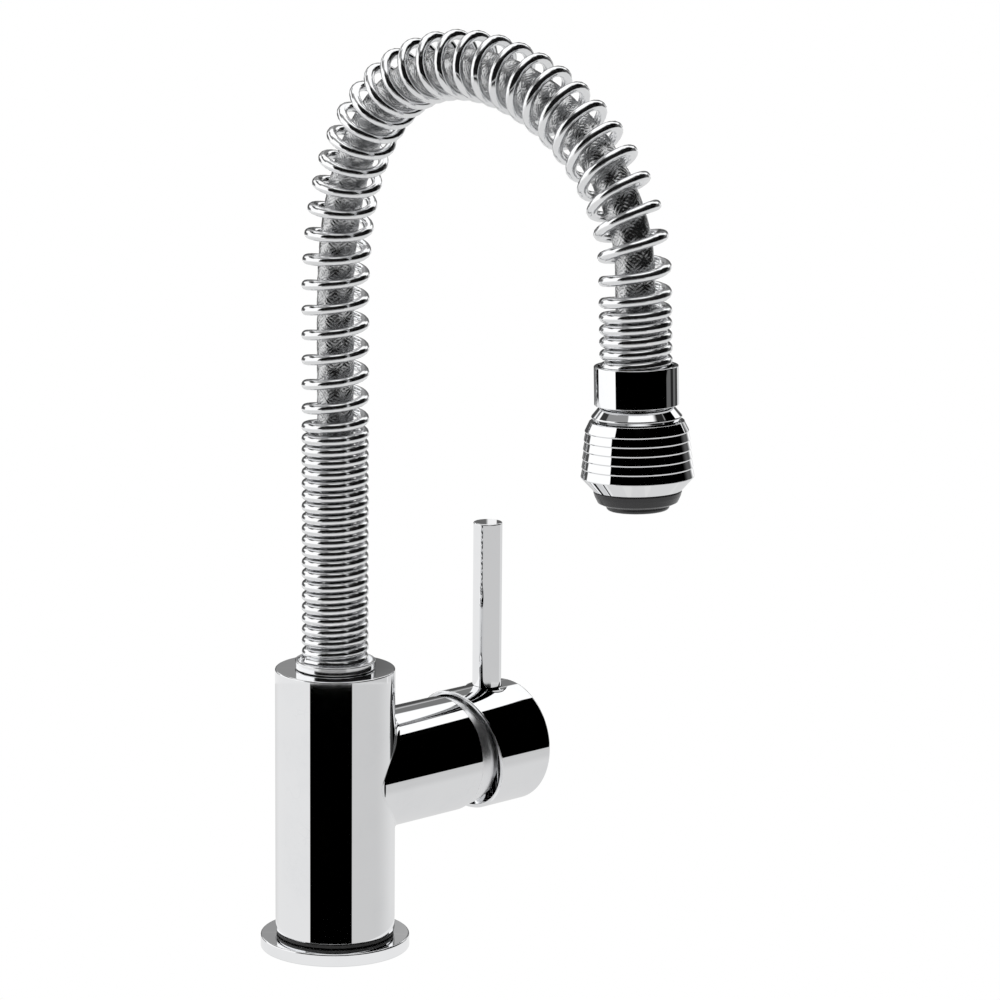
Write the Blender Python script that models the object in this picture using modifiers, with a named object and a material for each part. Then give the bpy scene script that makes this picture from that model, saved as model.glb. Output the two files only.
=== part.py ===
# Flexible kitchen faucet: a single-lever sink mixer whose spout is a braided hose held up by a wire
# coil spring, with a tilting, turning spray head. Metres, +Z up. The origin is the centre of the foot
# on the deck, the spout reaches towards -Y and the cartridge arm with its handle towards +X.
import bpy
import bmesh
from math import asin, cos, pi, radians, sin, sqrt, tan
from mathutils import Vector

# Fits and making
fit_gap = 0.0003
cut_overrun = 0.002
merge_distance = 0.00005
round_sides = 28
grip_sides = 24
cartridge_sides = 24
inner_sides = 12
small_sides = 10
bore_sides = 10
seal_points = 4

# Foot
flange_radius = 0.030
flange_height = 0.0052
flange_edge = 0.0006
spigot_radius = 0.016
gasket_inner_radius = 0.0222
gasket_outer_radius = 0.0263
gasket_thickness = 0.002
seal_cord_radius = 0.00075
seal_room = 0.0011
foot_seal_radius = 0.0204

# Barrel and arm, one casting
barrel_radius = 0.024
barrel_top = 0.115
barrel_edge = 0.0006
foot_groove_depth = 0.001
foot_groove_height = 0.0019
arm_radius = 0.0237
arm_height = 0.069
arm_end = 0.060
arm_edge = 0.0009
seat_depth = 0.030
seat_floor = arm_end - seat_depth
seat_radius = 0.018
nut_depth = 0.012
nut_shelf = arm_end - nut_depth
nut_bore_radius = 0.0195

# Waterways in the casting
inlet_spacing = 0.008
inlet_thread_radius = 0.0046
inlet_thread_depth = 0.014
inlet_radius = 0.0032
inlet_rise = 0.004
port_spacing = 0.0055
port_radius = 0.0024
outlet_drop = 0.0048
outlet_radius = 0.0028
riser_offset = 0.004
stud_offset = 0.0108
stud_hole_radius = 0.0034
stud_hole_depth = 0.020

# Cartridge, along the arm
housing_radius = 0.0176
housing_base = 0.0042
housing_neck_radius = 0.0145
housing_rise = 0.001
housing_end = arm_end + housing_rise
chamber_radius = 0.0149
chamber_wall = 0.001
chamber_end = nut_shelf - chamber_wall
turret_bore_radius = 0.0116
port_seal_recess = 0.0016
inlet_seal_radius = 0.0035
outlet_seal_radius = 0.004
fixed_disc_thickness = 0.0035
moving_disc_thickness = 0.005
moving_disc_radius = 0.0114
disc_pocket_radius = 0.0061
disc_pocket_depth = 0.0018
nut_end_drop = 0.0006
nut_end = arm_end - nut_end_drop
nut_boss_radius = 0.0168
nut_boss_rise = 0.004
nut_boss_end = arm_end + nut_boss_rise
nut_notch_width = 0.003
nut_notch_depth = 0.0015

# Turret and spindle: the handle tilts about the pin and turns with the turret
pivot_rise = 0.002
pivot_reach = arm_end + pivot_rise
lever_tilt = radians(22)
turret_radius = 0.0113
turret_wall = 0.004
turret_end = pivot_reach + turret_wall
turret_flange_thickness = 0.0025
pin_radius = 0.0015
spindle_radius = 0.0034
spindle_ball_radius = 0.0032
spindle_ball_rise = 0.0016
disc_top = seat_floor + housing_base + fixed_disc_thickness + moving_disc_thickness + 3 * fit_gap
spindle_ball_reach = pivot_reach - disc_top - spindle_ball_rise
spindle_flat = 0.0033
spindle_square_start = 0.0045
spindle_length = 0.024
slot_clearance = 0.0005

# Handle, measured outwards from the pin
handle_radius = 0.0252
handle_wall = 0.0016
handle_length = 0.0345
handle_end_wall = 0.003
handle_round = 0.0013
handle_round_points = 4
rim_start = 0.0065
rim_slant = radians(10.1)
hub_radius = 0.008
hub_start = 0.012
lever_reach = 0.0215
lever_radius = 0.00595
lever_height = 0.0937
lever_edge = 0.0004
lever_seat = 0.014
lever_stud_radius = 0.0031
lever_stud_end = 0.006
lever_boss_radius = 0.0086
grub_radius = 0.0022
grub_length = 0.008
grub_boss_radius = 0.0055
plug_radius = 0.003
plug_length = 0.0038
hex_share = 0.55
hex_depth_share = 0.3

# Dress ring: a ball zone about the pin, so the handle passes over it
tilt_clearance = 0.0008
dress_radius = handle_radius - handle_wall - tilt_clearance
dress_length = 0.0075
dress_edge = 0.0007
dress_end = pivot_reach + dress_length
dress_top = dress_end + dress_edge
dress_lip_radius = 0.015
dress_lip_thickness = 0.0014
dress_wall = 0.0022
dress_points = 4

# Spout foot: collar, stem, slip ring and seals
collar_radius = 0.016
collar_height = 0.0037
collar_top = barrel_top + collar_height
collar_edge = 0.0005
collar_recess_radius = 0.015
collar_base = 0.0022
collar_floor = barrel_top + collar_base
slip_inner_radius = 0.010
slip_outer_radius = 0.0135
slip_thickness = 0.0008
stem_radius = 0.007
stem_bore_radius = 0.003
stem_depth = 0.0205
stem_bottom = barrel_top - stem_depth
stem_shoulder_radius = 0.0085
stem_shoulder_height = 0.002
stem_seal_margin = 0.0043
stem_seal_low = stem_bottom + stem_seal_margin
stem_seal_high = barrel_top - stem_seal_margin
stem_groove_radius = 0.0051
stem_seal_ring_radius = 0.0062
socket_clear = 0.001
set_screw_height = (stem_seal_low + stem_seal_high) / 2
set_screw_radius = 0.002
set_screw_tip_radius = 0.0011
set_screw_inset = 0.0025
set_screw_end = barrel_radius - set_screw_inset
set_screw_tip_length = 0.0024
lock_groove_radius = 0.0054
lock_groove_width = 0.0034

# Hose and its route: up the barrel's axis, over an arch and down into the head collar
hose_radius = 0.00735
braid_bore_radius = 0.0066
hose_bore_radius = 0.00495
hose_inset = 0.0009
nipple_radius = 0.0044
nipple_length = 0.014
ferrule_radius = 0.00855
ferrule_length = 0.015
reach = 0.1648
head_height = 0.2591
head_lean = radians(2.13)
bend_rise = 0.149
bend_start = barrel_top + bend_rise
foot_pull = 0.147
head_pull = 0.0727
head_straight = 0.0341
route_steps = 400
hose_points = 27
hose_bevel_steps = 2

# Spring: close wound at the foot and the head, open between
wire_radius = 0.0018
coil_radius = 0.0114
tight_pitch = 0.00454
foot_curls = 20.976
open_curls = 32.5
head_curls = 5.6
coil_start_angle = radians(-33.44)
points_per_curl = 8
ramp_curls = 1.0
end_share = 0.02

# Head collar, hose nipple and ball stud; depths run down the head's axis from the collar's top
head_collar_radius = 0.0155
head_collar_height = 0.01447
head_recess_radius = 0.014
head_recess_depth = 0.0045
head_thread_radius = 0.006
head_thread_end = 0.011
head_hollow_wall = 0.0008
head_hollow_radius = 0.0108
nipple_shoulder_radius = 0.0085
nipple_shoulder_height = 0.0022
nipple_boss_length = 0.0019
stud_bore_radius = 0.0024
stud_neck_radius = 0.0036
ball_depth = 0.021
ball_radius = 0.0066
ball_points = 4

# Spray head
dome_top_depth = 0.0148
dome_top_radius = 0.0131
dome_opening_radius = 0.0054
dome_radius = 0.0170
dome_full_depth = 0.0190
dome_land = 0.0006
dome_height_shares = (0.0, 0.26, 0.54, 0.83, 1.0)
dome_width_shares = (0.0, 0.22, 0.62, 0.93, 1.0)
skirt_radius = 0.0154
skirt_start = 0.020
skirt_end = 0.029
seat_ring_radius = 0.0089
seat_ring_end = 0.0242
core_thread_radius = 0.012
core_top_bore_radius = 0.0075
core_radius = 0.0134
core_bore_radius = 0.0055
core_end = 0.0426
core_socket_radius = 0.0095
core_socket_start = 0.038
core_seal_ring_radius = 0.0126
core_groove_radius = 0.0115
core_seal_high = 0.0325
core_seal_low = 0.0362
bell_top_radius = 0.0174
bell_shoulder_radius = 0.01915
bell_shoulder_height = 0.00395
bell_radius = 0.0208
bell_start = 0.0204
bell_ribs = 5
rib_pitch = 0.00335
rib_step = 0.0003
rib_edge = 0.0004
bell_cone_height = 0.0049
bell_end_radius = 0.0163
nozzle_recess_radius = 0.0148
nozzle_recess_depth = 0.0032
nozzle_shoulder_radius = 0.0158
nozzle_shoulder_drop = 0.0021
nozzle_low_radius = 0.0147
nozzle_low_drop = 0.0044
nozzle_end_radius = 0.0126
nozzle_end_drop = 0.0054
insert_radius = 0.0116
insert_bore_radius = 0.0082
insert_top = 0.039
insert_end = 0.0533
insert_edge = 0.0012
insert_lip_radius = 0.007
insert_lip_thickness = 0.0014
cage_wall = 0.0008
cage_top = 0.043
cage_hole_radius = 0.0011
cage_hole_circle = 0.0044
cage_holes = 6
screen_thickness = 0.0005
screen_spacing = 0.003

foot_level = flange_height + fit_gap
socket_floor = stem_bottom - socket_clear
ribs_start = bell_start + bell_shoulder_height
ribs_end = ribs_start + bell_ribs * rib_pitch
bell_end = ribs_end + bell_cone_height

chrome_color = (0.86, 0.87, 0.88)
steel_color = (0.70, 0.71, 0.72)
brass_color = (0.78, 0.62, 0.33)
black_color = (0.02, 0.02, 0.022)
grey_color = (0.45, 0.46, 0.48)
white_color = (0.86, 0.86, 0.84)
ceramic_color = (0.90, 0.88, 0.84)
rubber_color = (0.03, 0.03, 0.03)


def clear_scene():
    for item in list(bpy.data.objects):
        bpy.data.objects.remove(item)


def finish(name, color, roughness, metallic):
    material = bpy.data.materials.new(name)
    material.use_nodes = True
    shader = material.node_tree.nodes["Principled BSDF"]
    shader.inputs["Base Color"].default_value = (*color, 1)
    shader.inputs["Roughness"].default_value = roughness
    shader.inputs["Metallic"].default_value = metallic
    material.diffuse_color = (*color, 1)
    return material


def collection(name):
    group = bpy.data.collections.new(name)
    bpy.context.scene.collection.children.link(group)
    return group


def add(name, mesh, group, material=None, parent=None, at=(0, 0, 0), turn=(0, 0, 0)):
    item = bpy.data.objects.new(name, mesh)
    group.objects.link(item)
    item.parent = parent
    item.location = at
    item.rotation_euler = turn
    if material:
        mesh.materials.append(material)
    if group is cutters:
        item.hide_render = True
        item.display_type = "WIRE"
    return item


def axis_empty(name, at, turn=(0, 0, 0), parent=None):
    empty = bpy.data.objects.new(name, None)
    faucet.objects.link(empty)
    empty.parent = parent
    empty.location = at
    empty.rotation_euler = turn
    empty.empty_display_size = barrel_radius
    return empty


# Turned pieces: outlines are (radius, height) points that run down the outer side

def turned(name, outline, group, sides, material=None, parent=None, at=(0, 0, 0), turn=(0, 0, 0)):
    points = [(radius, 0, height) for radius, height in outline]
    edges = [(i, i + 1) for i in range(len(points) - 1)]
    if outline[0][0] > 0:
        edges.append((len(points) - 1, 0))
    mesh = bpy.data.meshes.new(name)
    mesh.from_pydata(points, edges, [])
    item = add(name, mesh, group, material, parent, at, turn)
    screw = item.modifiers.new("turn", "SCREW")
    screw.steps = sides
    screw.render_steps = sides
    screw.use_merge_vertices = True
    screw.merge_threshold = merge_distance
    return item


def arc(centre, radius, start, end, count):
    # points on a round in an outline, from angle start to end, counted from the radius direction
    steps = [start + (end - start) * i / (count - 1) for i in range(count)]
    return [(centre[0] + radius * cos(a), centre[1] + radius * sin(a)) for a in steps]


def seal_outline(ring_radius, height, cord=seal_cord_radius):
    turns = [pi / 2 - 2 * pi * i / seal_points for i in range(seal_points)]
    return [(ring_radius + cord * cos(a), height + cord * sin(a)) for a in turns]


def cylinder(name, radius, start, end, group, sides, material=None, parent=None):
    # a plain round bar from one point to another, in its parent's frame
    start, end = Vector(start), Vector(end)
    form = bmesh.new()
    bmesh.ops.create_cone(form, cap_ends=True, segments=sides, radius1=radius, radius2=radius,
                          depth=(end - start).length)
    mesh = bpy.data.meshes.new(name)
    form.to_mesh(mesh)
    form.free()
    item = add(name, mesh, group, material, parent, (start + end) / 2)
    item.rotation_euler = (end - start).to_track_quat("Z", "Y").to_euler()
    return item


def block(name, low, high, group, parent=None, turn=(0, 0, 0), about=(0, 0, 0)):
    # a box from its low to its high corner, measured from the point that it is turned about
    low, high = Vector(low), Vector(high)
    form = bmesh.new()
    bmesh.ops.create_cube(form, size=1)
    bmesh.ops.scale(form, vec=high - low, verts=form.verts)
    bmesh.ops.translate(form, vec=(low + high) / 2, verts=form.verts)
    mesh = bpy.data.meshes.new(name)
    form.to_mesh(mesh)
    form.free()
    return add(name, mesh, group, None, parent, about, turn)


def plate(name, outline, half_thickness, group, parent=None):
    # a flat outline in the parent's XZ plane, thickened along Y
    curve = bpy.data.curves.new(name, "CURVE")
    curve.dimensions = "2D"
    curve.fill_mode = "BOTH"
    curve.extrude = half_thickness
    spline = curve.splines.new("POLY")
    spline.points.add(len(outline) - 1)
    for point, (x, z) in zip(spline.points, outline):
        point.co = (x, z, 0, 1)
    spline.use_cyclic_u = True
    return solid_from_curve(name, curve, group, None, parent, turn=(pi / 2, 0, 0))


def solid_from_curve(name, curve, group, material=None, parent=None, turn=(0, 0, 0)):
    # a curve's evaluated shape as a mesh, with its loose caps welded on
    rough = bpy.data.objects.new(name + "_curve", curve)
    faucet.objects.link(rough)
    bpy.context.view_layer.update()
    seen = rough.evaluated_get(bpy.context.evaluated_depsgraph_get())
    mesh = bpy.data.meshes.new_from_object(seen)
    bpy.data.objects.remove(rough)
    form = bmesh.new()
    form.from_mesh(mesh)
    bmesh.ops.remove_doubles(form, verts=form.verts, dist=merge_distance)
    bmesh.ops.recalc_face_normals(form, faces=form.faces)
    form.to_mesh(mesh)
    form.free()
    mesh.name = name
    return add(name, mesh, group, material, parent, turn=turn)


def tube(name, points, radius, resolution, group, material=None):
    curve = bpy.data.curves.new(name, "CURVE")
    curve.dimensions = "3D"
    curve.bevel_depth = radius
    curve.bevel_resolution = resolution
    curve.use_fill_caps = True
    curve.twist_mode = "MINIMUM"
    spline = curve.splines.new("POLY")
    spline.points.add(len(points) - 1)
    for place, point in zip(spline.points, points):
        place.co = (*point, 1)
    return solid_from_curve(name, curve, group, material)


def carve(item, *tools, mode="DIFFERENCE"):
    for tool in tools:
        boolean = item.modifiers.new(tool.name, "BOOLEAN")
        boolean.operation = mode
        boolean.object = tool
    return item


def hex_socket(name, radius, length, outer_end, parent, at, turn):
    # a socket for a key in the outer end of a screw
    deep = outer_end - length * hex_depth_share
    outline = [(0, outer_end + cut_overrun), (radius * hex_share, outer_end + cut_overrun),
               (radius * hex_share, deep), (0, deep)]
    return turned(name, outline, cutters, 6, None, parent, at, turn)


# Foot and casting

def base_flange():
    gasket_out = gasket_outer_radius + fit_gap
    gasket_in = gasket_inner_radius - fit_gap
    gasket_roof = gasket_thickness + fit_gap
    seal_out = foot_seal_radius + seal_room
    seal_in = foot_seal_radius - seal_room
    seal_floor = flange_height - 2 * seal_room
    top_round = arc((flange_radius - flange_edge, flange_height - flange_edge), flange_edge, pi / 2, 0, 3)
    outline = [(spigot_radius + fit_gap, flange_height), (seal_in, flange_height), (seal_in, seal_floor),
               (seal_out, seal_floor), (seal_out, flange_height), *top_round,
               (flange_radius, flange_edge / 2), (flange_radius - flange_edge / 2, 0),
               (gasket_out, 0), (gasket_out, gasket_roof), (gasket_in, gasket_roof), (gasket_in, 0),
               (spigot_radius + fit_gap, 0)]
    turned("base_flange", outline, faucet, round_sides, chrome)
    gasket = [(gasket_inner_radius, gasket_thickness), (gasket_outer_radius, gasket_thickness),
              (gasket_outer_radius, 0), (gasket_inner_radius, 0)]
    turned("base_gasket", gasket, faucet, round_sides, rubber)
    seal_height = flange_height - seal_cord_radius
    turned("body_o_ring", seal_outline(foot_seal_radius, seal_height), faucet, round_sides, rubber)


def mixer_body():
    foot_radius = barrel_radius - foot_groove_depth
    groove_top = foot_level + foot_groove_height
    outline = [(0, barrel_top), (barrel_radius - barrel_edge, barrel_top),
               (barrel_radius, barrel_top - barrel_edge), (barrel_radius, groove_top),
               (foot_radius, groove_top), (foot_radius, foot_level), (spigot_radius, foot_level),
               (spigot_radius, 0), (0, 0)]
    body = turned("mixer_body", outline, faucet, round_sides, chrome)
    arm = [(0, arm_end), (arm_radius - arm_edge, arm_end), (arm_radius, arm_end - arm_edge),
           (arm_radius, 0), (0, 0)]
    carve(body, turned("arm_form", arm, cutters, round_sides, None, arm_axis), mode="UNION")
    mouth = arm_end + cut_overrun
    seat = [(0, mouth), (nut_bore_radius, mouth), (nut_bore_radius, nut_shelf), (seat_radius, nut_shelf),
            (seat_radius, seat_floor), (0, seat_floor)]
    carve(body, turned("cartridge_seat", seat, cutters, cartridge_sides, None, arm_axis))
    socket_radius = stem_radius + fit_gap
    socket_mouth = barrel_top + cut_overrun
    socket = [(0, socket_mouth), (socket_radius, socket_mouth), (socket_radius, socket_floor),
              (0, socket_floor)]
    carve(body, turned("stem_socket", socket, cutters, inner_sides))
    port_start = seat_floor + cut_overrun
    outlet_height = arm_height - outlet_drop
    riser_foot = (-riser_offset, 0, outlet_height - outlet_radius / 2)
    riser_head = (-riser_offset, 0, socket_floor + cut_overrun)
    carve(body, cylinder("riser", outlet_radius, riser_foot, riser_head, cutters, bore_sides))
    carve(body, cylinder("outlet_port", outlet_radius, (-riser_offset - outlet_radius / 2, 0, outlet_height),
                         (port_start, 0, outlet_height), cutters, bore_sides))
    inlet_height = arm_height + inlet_rise
    for name, side in (("cold", -1), ("hot", 1)):
        y = side * port_spacing
        top = inlet_height + port_radius / 2
        inlet = [(0, top), (inlet_radius, top), (inlet_radius, inlet_thread_depth),
                 (inlet_thread_radius, inlet_thread_depth), (inlet_thread_radius, -cut_overrun),
                 (0, -cut_overrun)]
        place = (0, side * inlet_spacing, 0)
        carve(body, turned(name + "_inlet", inlet, cutters, bore_sides, None, None, place))
        carve(body, cylinder(name + "_port", port_radius, (0, y, inlet_height),
                             (port_start, y, inlet_height), cutters, bore_sides))
    carve(body, cylinder("stud_hole", stud_hole_radius, (-stud_offset, 0, -cut_overrun),
                         (-stud_offset, 0, stud_hole_depth), cutters, bore_sides))
    carve(body, cylinder("set_screw_hole", set_screw_radius + fit_gap, (0, 0, set_screw_height),
                         (0, barrel_radius + cut_overrun, set_screw_height), cutters, bore_sides))


def stem_screw():
    place = (0, 0, set_screw_height)
    tip = lock_groove_radius + fit_gap
    body_start = tip + set_screw_tip_length
    outline = [(0, set_screw_end), (set_screw_radius, set_screw_end), (set_screw_radius, body_start),
               (set_screw_tip_radius, body_start), (set_screw_tip_radius, tip), (0, tip)]
    turn = (-pi / 2, 0, 0)
    screw = turned("stem_screw", outline, faucet, small_sides, steel, None, place, turn)
    length = set_screw_end - tip
    carve(screw, hex_socket("stem_screw_key", set_screw_radius, length, set_screw_end, None, place, turn))


# Cartridge

def ports():
    # name, place in the arm's frame, where world up is -X, radius, and radius of the seal around it
    return [("hot", (-inlet_rise, port_spacing), port_radius, inlet_seal_radius),
            ("cold", (-inlet_rise, -port_spacing), port_radius, inlet_seal_radius),
            ("outlet", (outlet_drop, 0), outlet_radius, outlet_seal_radius)]


def cartridge_housing():
    base = seat_floor + fit_gap
    floor = base + housing_base
    shoulder = nut_shelf - fit_gap
    outline = [(0, floor), (chamber_radius, floor), (chamber_radius, chamber_end),
               (turret_bore_radius, chamber_end), (turret_bore_radius, housing_end),
               (housing_neck_radius, housing_end), (housing_neck_radius, shoulder),
               (housing_radius, shoulder), (housing_radius, base), (0, base)]
    housing = turned("cartridge_housing", outline, faucet, cartridge_sides, grey, arm_axis)
    roof = base + port_seal_recess
    for name, (x, y), radius, seal_radius in ports():
        recess = seal_radius + seal_room
        cutter = [(0, floor + cut_overrun), (radius, floor + cut_overrun), (radius, roof), (recess, roof),
                  (recess, base - cut_overrun), (0, base - cut_overrun)]
        cut = turned("housing_port_" + name, cutter, cutters, bore_sides, None, arm_axis, (x, y, 0))
        carve(housing, cut)


def port_seals():
    # one ring in each of the housing's recesses, pressed on the seat's floor
    height = seat_floor + fit_gap + seal_cord_radius
    for name, (x, y), radius, seal_radius in ports():
        turned(name + "_seal", seal_outline(seal_radius, height), faucet, small_sides, rubber, arm_axis,
               (x, y, 0))


def ceramic_discs():
    low = seat_floor + fit_gap + housing_base + fit_gap
    high = low + fixed_disc_thickness
    radius = chamber_radius - fit_gap
    fixed = turned("fixed_disc", [(0, high), (radius, high), (radius, low), (0, low)], faucet,
                   inner_sides, ceramic, arm_axis)
    for name, (x, y), port, seal_radius in ports():
        carve(fixed, cylinder("disc_port_" + name, port, (x, y, low - cut_overrun),
                              (x, y, high + cut_overrun), cutters, bore_sides, None, arm_axis))
    base = high + fit_gap
    top = base + moving_disc_thickness
    offset = moving_disc_offset()
    pocket = base + disc_pocket_depth
    outline = [(0, top), (moving_disc_radius, top), (moving_disc_radius, base),
               (disc_pocket_radius, base), (disc_pocket_radius, pocket), (0, pocket)]
    disc = turned("moving_disc", outline, faucet, inner_sides, ceramic, arm_axis, (offset, 0, 0))
    reach_in = pivot_reach - spindle_ball_reach - spindle_ball_radius - fit_gap
    carve(disc, cylinder("disc_socket", spindle_ball_radius + slot_clearance, (0, 0, reach_in),
                         (0, 0, top + cut_overrun), cutters, small_sides, None, arm_axis))


def moving_disc_offset():
    # the disc rests half its travel below the arm's axis; in the arm's frame down is +X
    return spindle_ball_reach * sin(lever_tilt) / 2


def turret():
    flange_top = chamber_end - fit_gap
    flange_low = flange_top - turret_flange_thickness
    flange_out = chamber_radius - fit_gap
    outline = [(0, turret_end), (turret_radius, turret_end), (turret_radius, flange_top),
               (flange_out, flange_top), (flange_out, flange_low), (0, flange_low)]
    carrier = turned("carrier", outline, faucet, inner_sides, grey, arm_axis)
    half = spindle_radius + slot_clearance
    square = spindle_flat + slot_clearance
    low = flange_low - cut_overrun
    high = turret_end + cut_overrun

    def swing(distance):
        return distance * tan(lever_tilt) + half / cos(lever_tilt)

    side_low = pivot_reach - low
    side_high = high - pivot_reach
    slot = [(half, low), (half, pivot_reach), (swing(side_high), high), (-max(half, square), high),
            (-half, pivot_reach), (-swing(side_low), low)]
    carve(carrier, plate("spindle_slot", slot, max(half, square), cutters, arm_axis))
    pin_half = turret_radius - 2 * fit_gap
    carve(carrier, cylinder("pin_hole", pin_radius + fit_gap, (0, -turret_radius - cut_overrun, pivot_reach),
                            (0, turret_radius + cut_overrun, pivot_reach), cutters, small_sides, None,
                            arm_axis))
    cylinder("pivot_pin", pin_radius, (0, -pin_half, pivot_reach), (0, pin_half, pivot_reach), faucet,
             small_sides, steel, arm_axis)


def cartridge_nut():
    start = nut_shelf + fit_gap
    inner = housing_neck_radius + fit_gap
    outer = nut_bore_radius - fit_gap
    outline = [(inner, nut_boss_end), (nut_boss_radius, nut_boss_end), (nut_boss_radius, nut_end),
               (outer, nut_end), (outer, start), (inner, start)]
    nut = turned("cartridge_nut", outline, faucet, cartridge_sides, brass, arm_axis)
    notch = nut_boss_end - nut_notch_depth
    half = nut_notch_width / 2
    for i in range(2):
        low = (-nut_bore_radius, -half, notch)
        high = (nut_bore_radius, half, nut_boss_end + cut_overrun)
        carve(nut, block("nut_notch_%d" % i, low, high, cutters, arm_axis, (0, 0, i * pi / 2)))


def dress_ring():
    start = arm_end + fit_gap
    thread = nut_boss_radius + fit_gap
    thread_end = nut_boss_end + fit_gap
    low_angle = asin((start - pivot_reach) / dress_radius)
    high_angle = asin((dress_end - pivot_reach) / dress_radius)
    zone = arc((0, pivot_reach), dress_radius, high_angle, low_angle, dress_points)
    cavity = zone[0][0] - dress_wall
    lip_low = dress_top - dress_lip_thickness
    outline = [(dress_lip_radius, dress_top), (zone[0][0] - (dress_top - dress_end), dress_top), *zone,
               (thread, start), (thread, thread_end), (cavity, thread_end), (cavity, lip_low),
               (dress_lip_radius, lip_low)]
    turned("dress_ring", outline, faucet, round_sides, chrome, arm_axis)


# Handle: its frame has its origin on the pin, and runs outwards along the arm

def spindle():
    ball = -spindle_ball_reach
    neck_angle = pi - 2 * pi / 3
    ball_round = arc((0, ball), spindle_ball_radius, neck_angle, -pi / 2, 4)
    neck = (ball_round[0][0], spindle_square_start - spindle_ball_reach / 2)
    outline = [(0, spindle_square_start + cut_overrun), (spindle_radius, spindle_square_start + cut_overrun),
               (spindle_radius, neck[1]), neck, *ball_round[:-1], (0, ball - spindle_ball_radius)]
    rod = turned("spindle", outline, faucet, small_sides, steel, tilt_axis)
    flat = spindle_flat
    carve(rod, block("spindle_square", (-flat, -flat, spindle_square_start), (flat, flat, spindle_length),
                     cutters, tilt_axis), mode="UNION")
    side = spindle_radius + cut_overrun
    carve(rod, cylinder("spindle_hole", pin_radius + fit_gap, (0, -side, 0), (0, side, 0), cutters,
                        small_sides, None, tilt_axis))


def handle_cap():
    end = handle_length
    inner_end = end - handle_end_wall
    inner = handle_radius - handle_wall
    middle = rim_start
    rim_low = middle - handle_radius * tan(rim_slant) - cut_overrun
    corner = arc((handle_radius - handle_round, end - handle_round), handle_round, pi / 2, 0,
                 handle_round_points)
    outline = [(0, end), *corner, (handle_radius, rim_low), (inner, rim_low),
               (inner, inner_end - handle_wall), (inner - handle_wall, inner_end), (0, inner_end)]
    cap = turned("handle_cap", outline, faucet, round_sides, chrome, tilt_axis)
    hub_low = hub_start
    overlap = handle_end_wall / 2
    lever_z = lever_reach
    boss_reach = inner + handle_wall / 2
    hub = cylinder("handle_hub", hub_radius, (0, 0, hub_low), (0, 0, inner_end + overlap), cutters,
                   inner_sides, None, tilt_axis)
    lever_boss = cylinder("lever_boss", lever_boss_radius, (0, 0, lever_z), (-boss_reach, 0, lever_z),
                          cutters, inner_sides, None, tilt_axis)
    grub_boss = cylinder("grub_boss", grub_boss_radius, (0, 0, lever_z), (boss_reach, 0, lever_z), cutters,
                         small_sides, None, tilt_axis)
    carve(cap, hub, lever_boss, grub_boss, mode="UNION")
    half = handle_radius + cut_overrun
    slice_low = (-2 * half, -half, -2 * half)
    slice_high = (2 * half, half, 0)
    rim_cut = block("rim_cut", slice_low, slice_high, cutters, tilt_axis, (0, -rim_slant, 0), (0, 0, middle))
    square = spindle_flat + fit_gap
    square_bore = block("square_bore", (-square, -square, hub_low - cut_overrun),
                        (square, square, spindle_length + fit_gap), cutters, tilt_axis)
    outside = handle_radius + cut_overrun
    lever_hole = cylinder("lever_hole", lever_radius + fit_gap, (-lever_seat, 0, lever_z),
                          (-outside, 0, lever_z), cutters, inner_sides, None, tilt_axis)
    stud_hole = cylinder("lever_stud_hole", lever_stud_radius + fit_gap,
                         (fit_gap - lever_stud_end, 0, lever_z), (-lever_seat - cut_overrun, 0, lever_z),
                         cutters, small_sides, None, tilt_axis)
    grub_hole = cylinder("grub_hole", grub_radius + fit_gap, (spindle_flat / 2, 0, lever_z),
                         (outside, 0, lever_z), cutters, small_sides, None, tilt_axis)
    plug_hole = cylinder("plug_hole", plug_radius + fit_gap, (handle_radius - plug_length, 0, lever_z),
                         (outside, 0, lever_z), cutters, small_sides, None, tilt_axis)
    carve(cap, rim_cut, square_bore, lever_hole, stud_hole, grub_hole, plug_hole)


def lever_and_screws():
    lever_z = lever_reach
    top = lever_height
    foot = lever_seat + fit_gap
    lever = [(0, top), (lever_radius - lever_edge, top), (lever_radius, top - lever_edge),
             (lever_radius, foot), (lever_stud_radius, foot), (lever_stud_radius, lever_stud_end),
             (0, lever_stud_end)]
    turned("lever_rod", lever, faucet, cartridge_sides, chrome, tilt_axis, (0, 0, lever_z), (0, -pi / 2, 0))
    down = (0, pi / 2, 0)
    tip = spindle_flat + fit_gap
    outer = tip + grub_length
    grub = [(0, outer), (grub_radius, outer), (grub_radius, tip), (0, tip)]
    screw = turned("grub_screw", grub, faucet, small_sides, steel, tilt_axis, (0, 0, lever_z), down)
    carve(screw, hex_socket("grub_key", grub_radius, grub_length, outer, tilt_axis, (0, 0, lever_z), down))
    face = sqrt(handle_radius ** 2 - plug_radius ** 2)
    back = handle_radius - plug_length + fit_gap
    plug = [(0, face), (plug_radius, face), (plug_radius, back), (0, back)]
    turned("screw_plug", plug, faucet, small_sides, chrome, tilt_axis, (0, 0, lever_z), down)


# Spout foot

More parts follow.
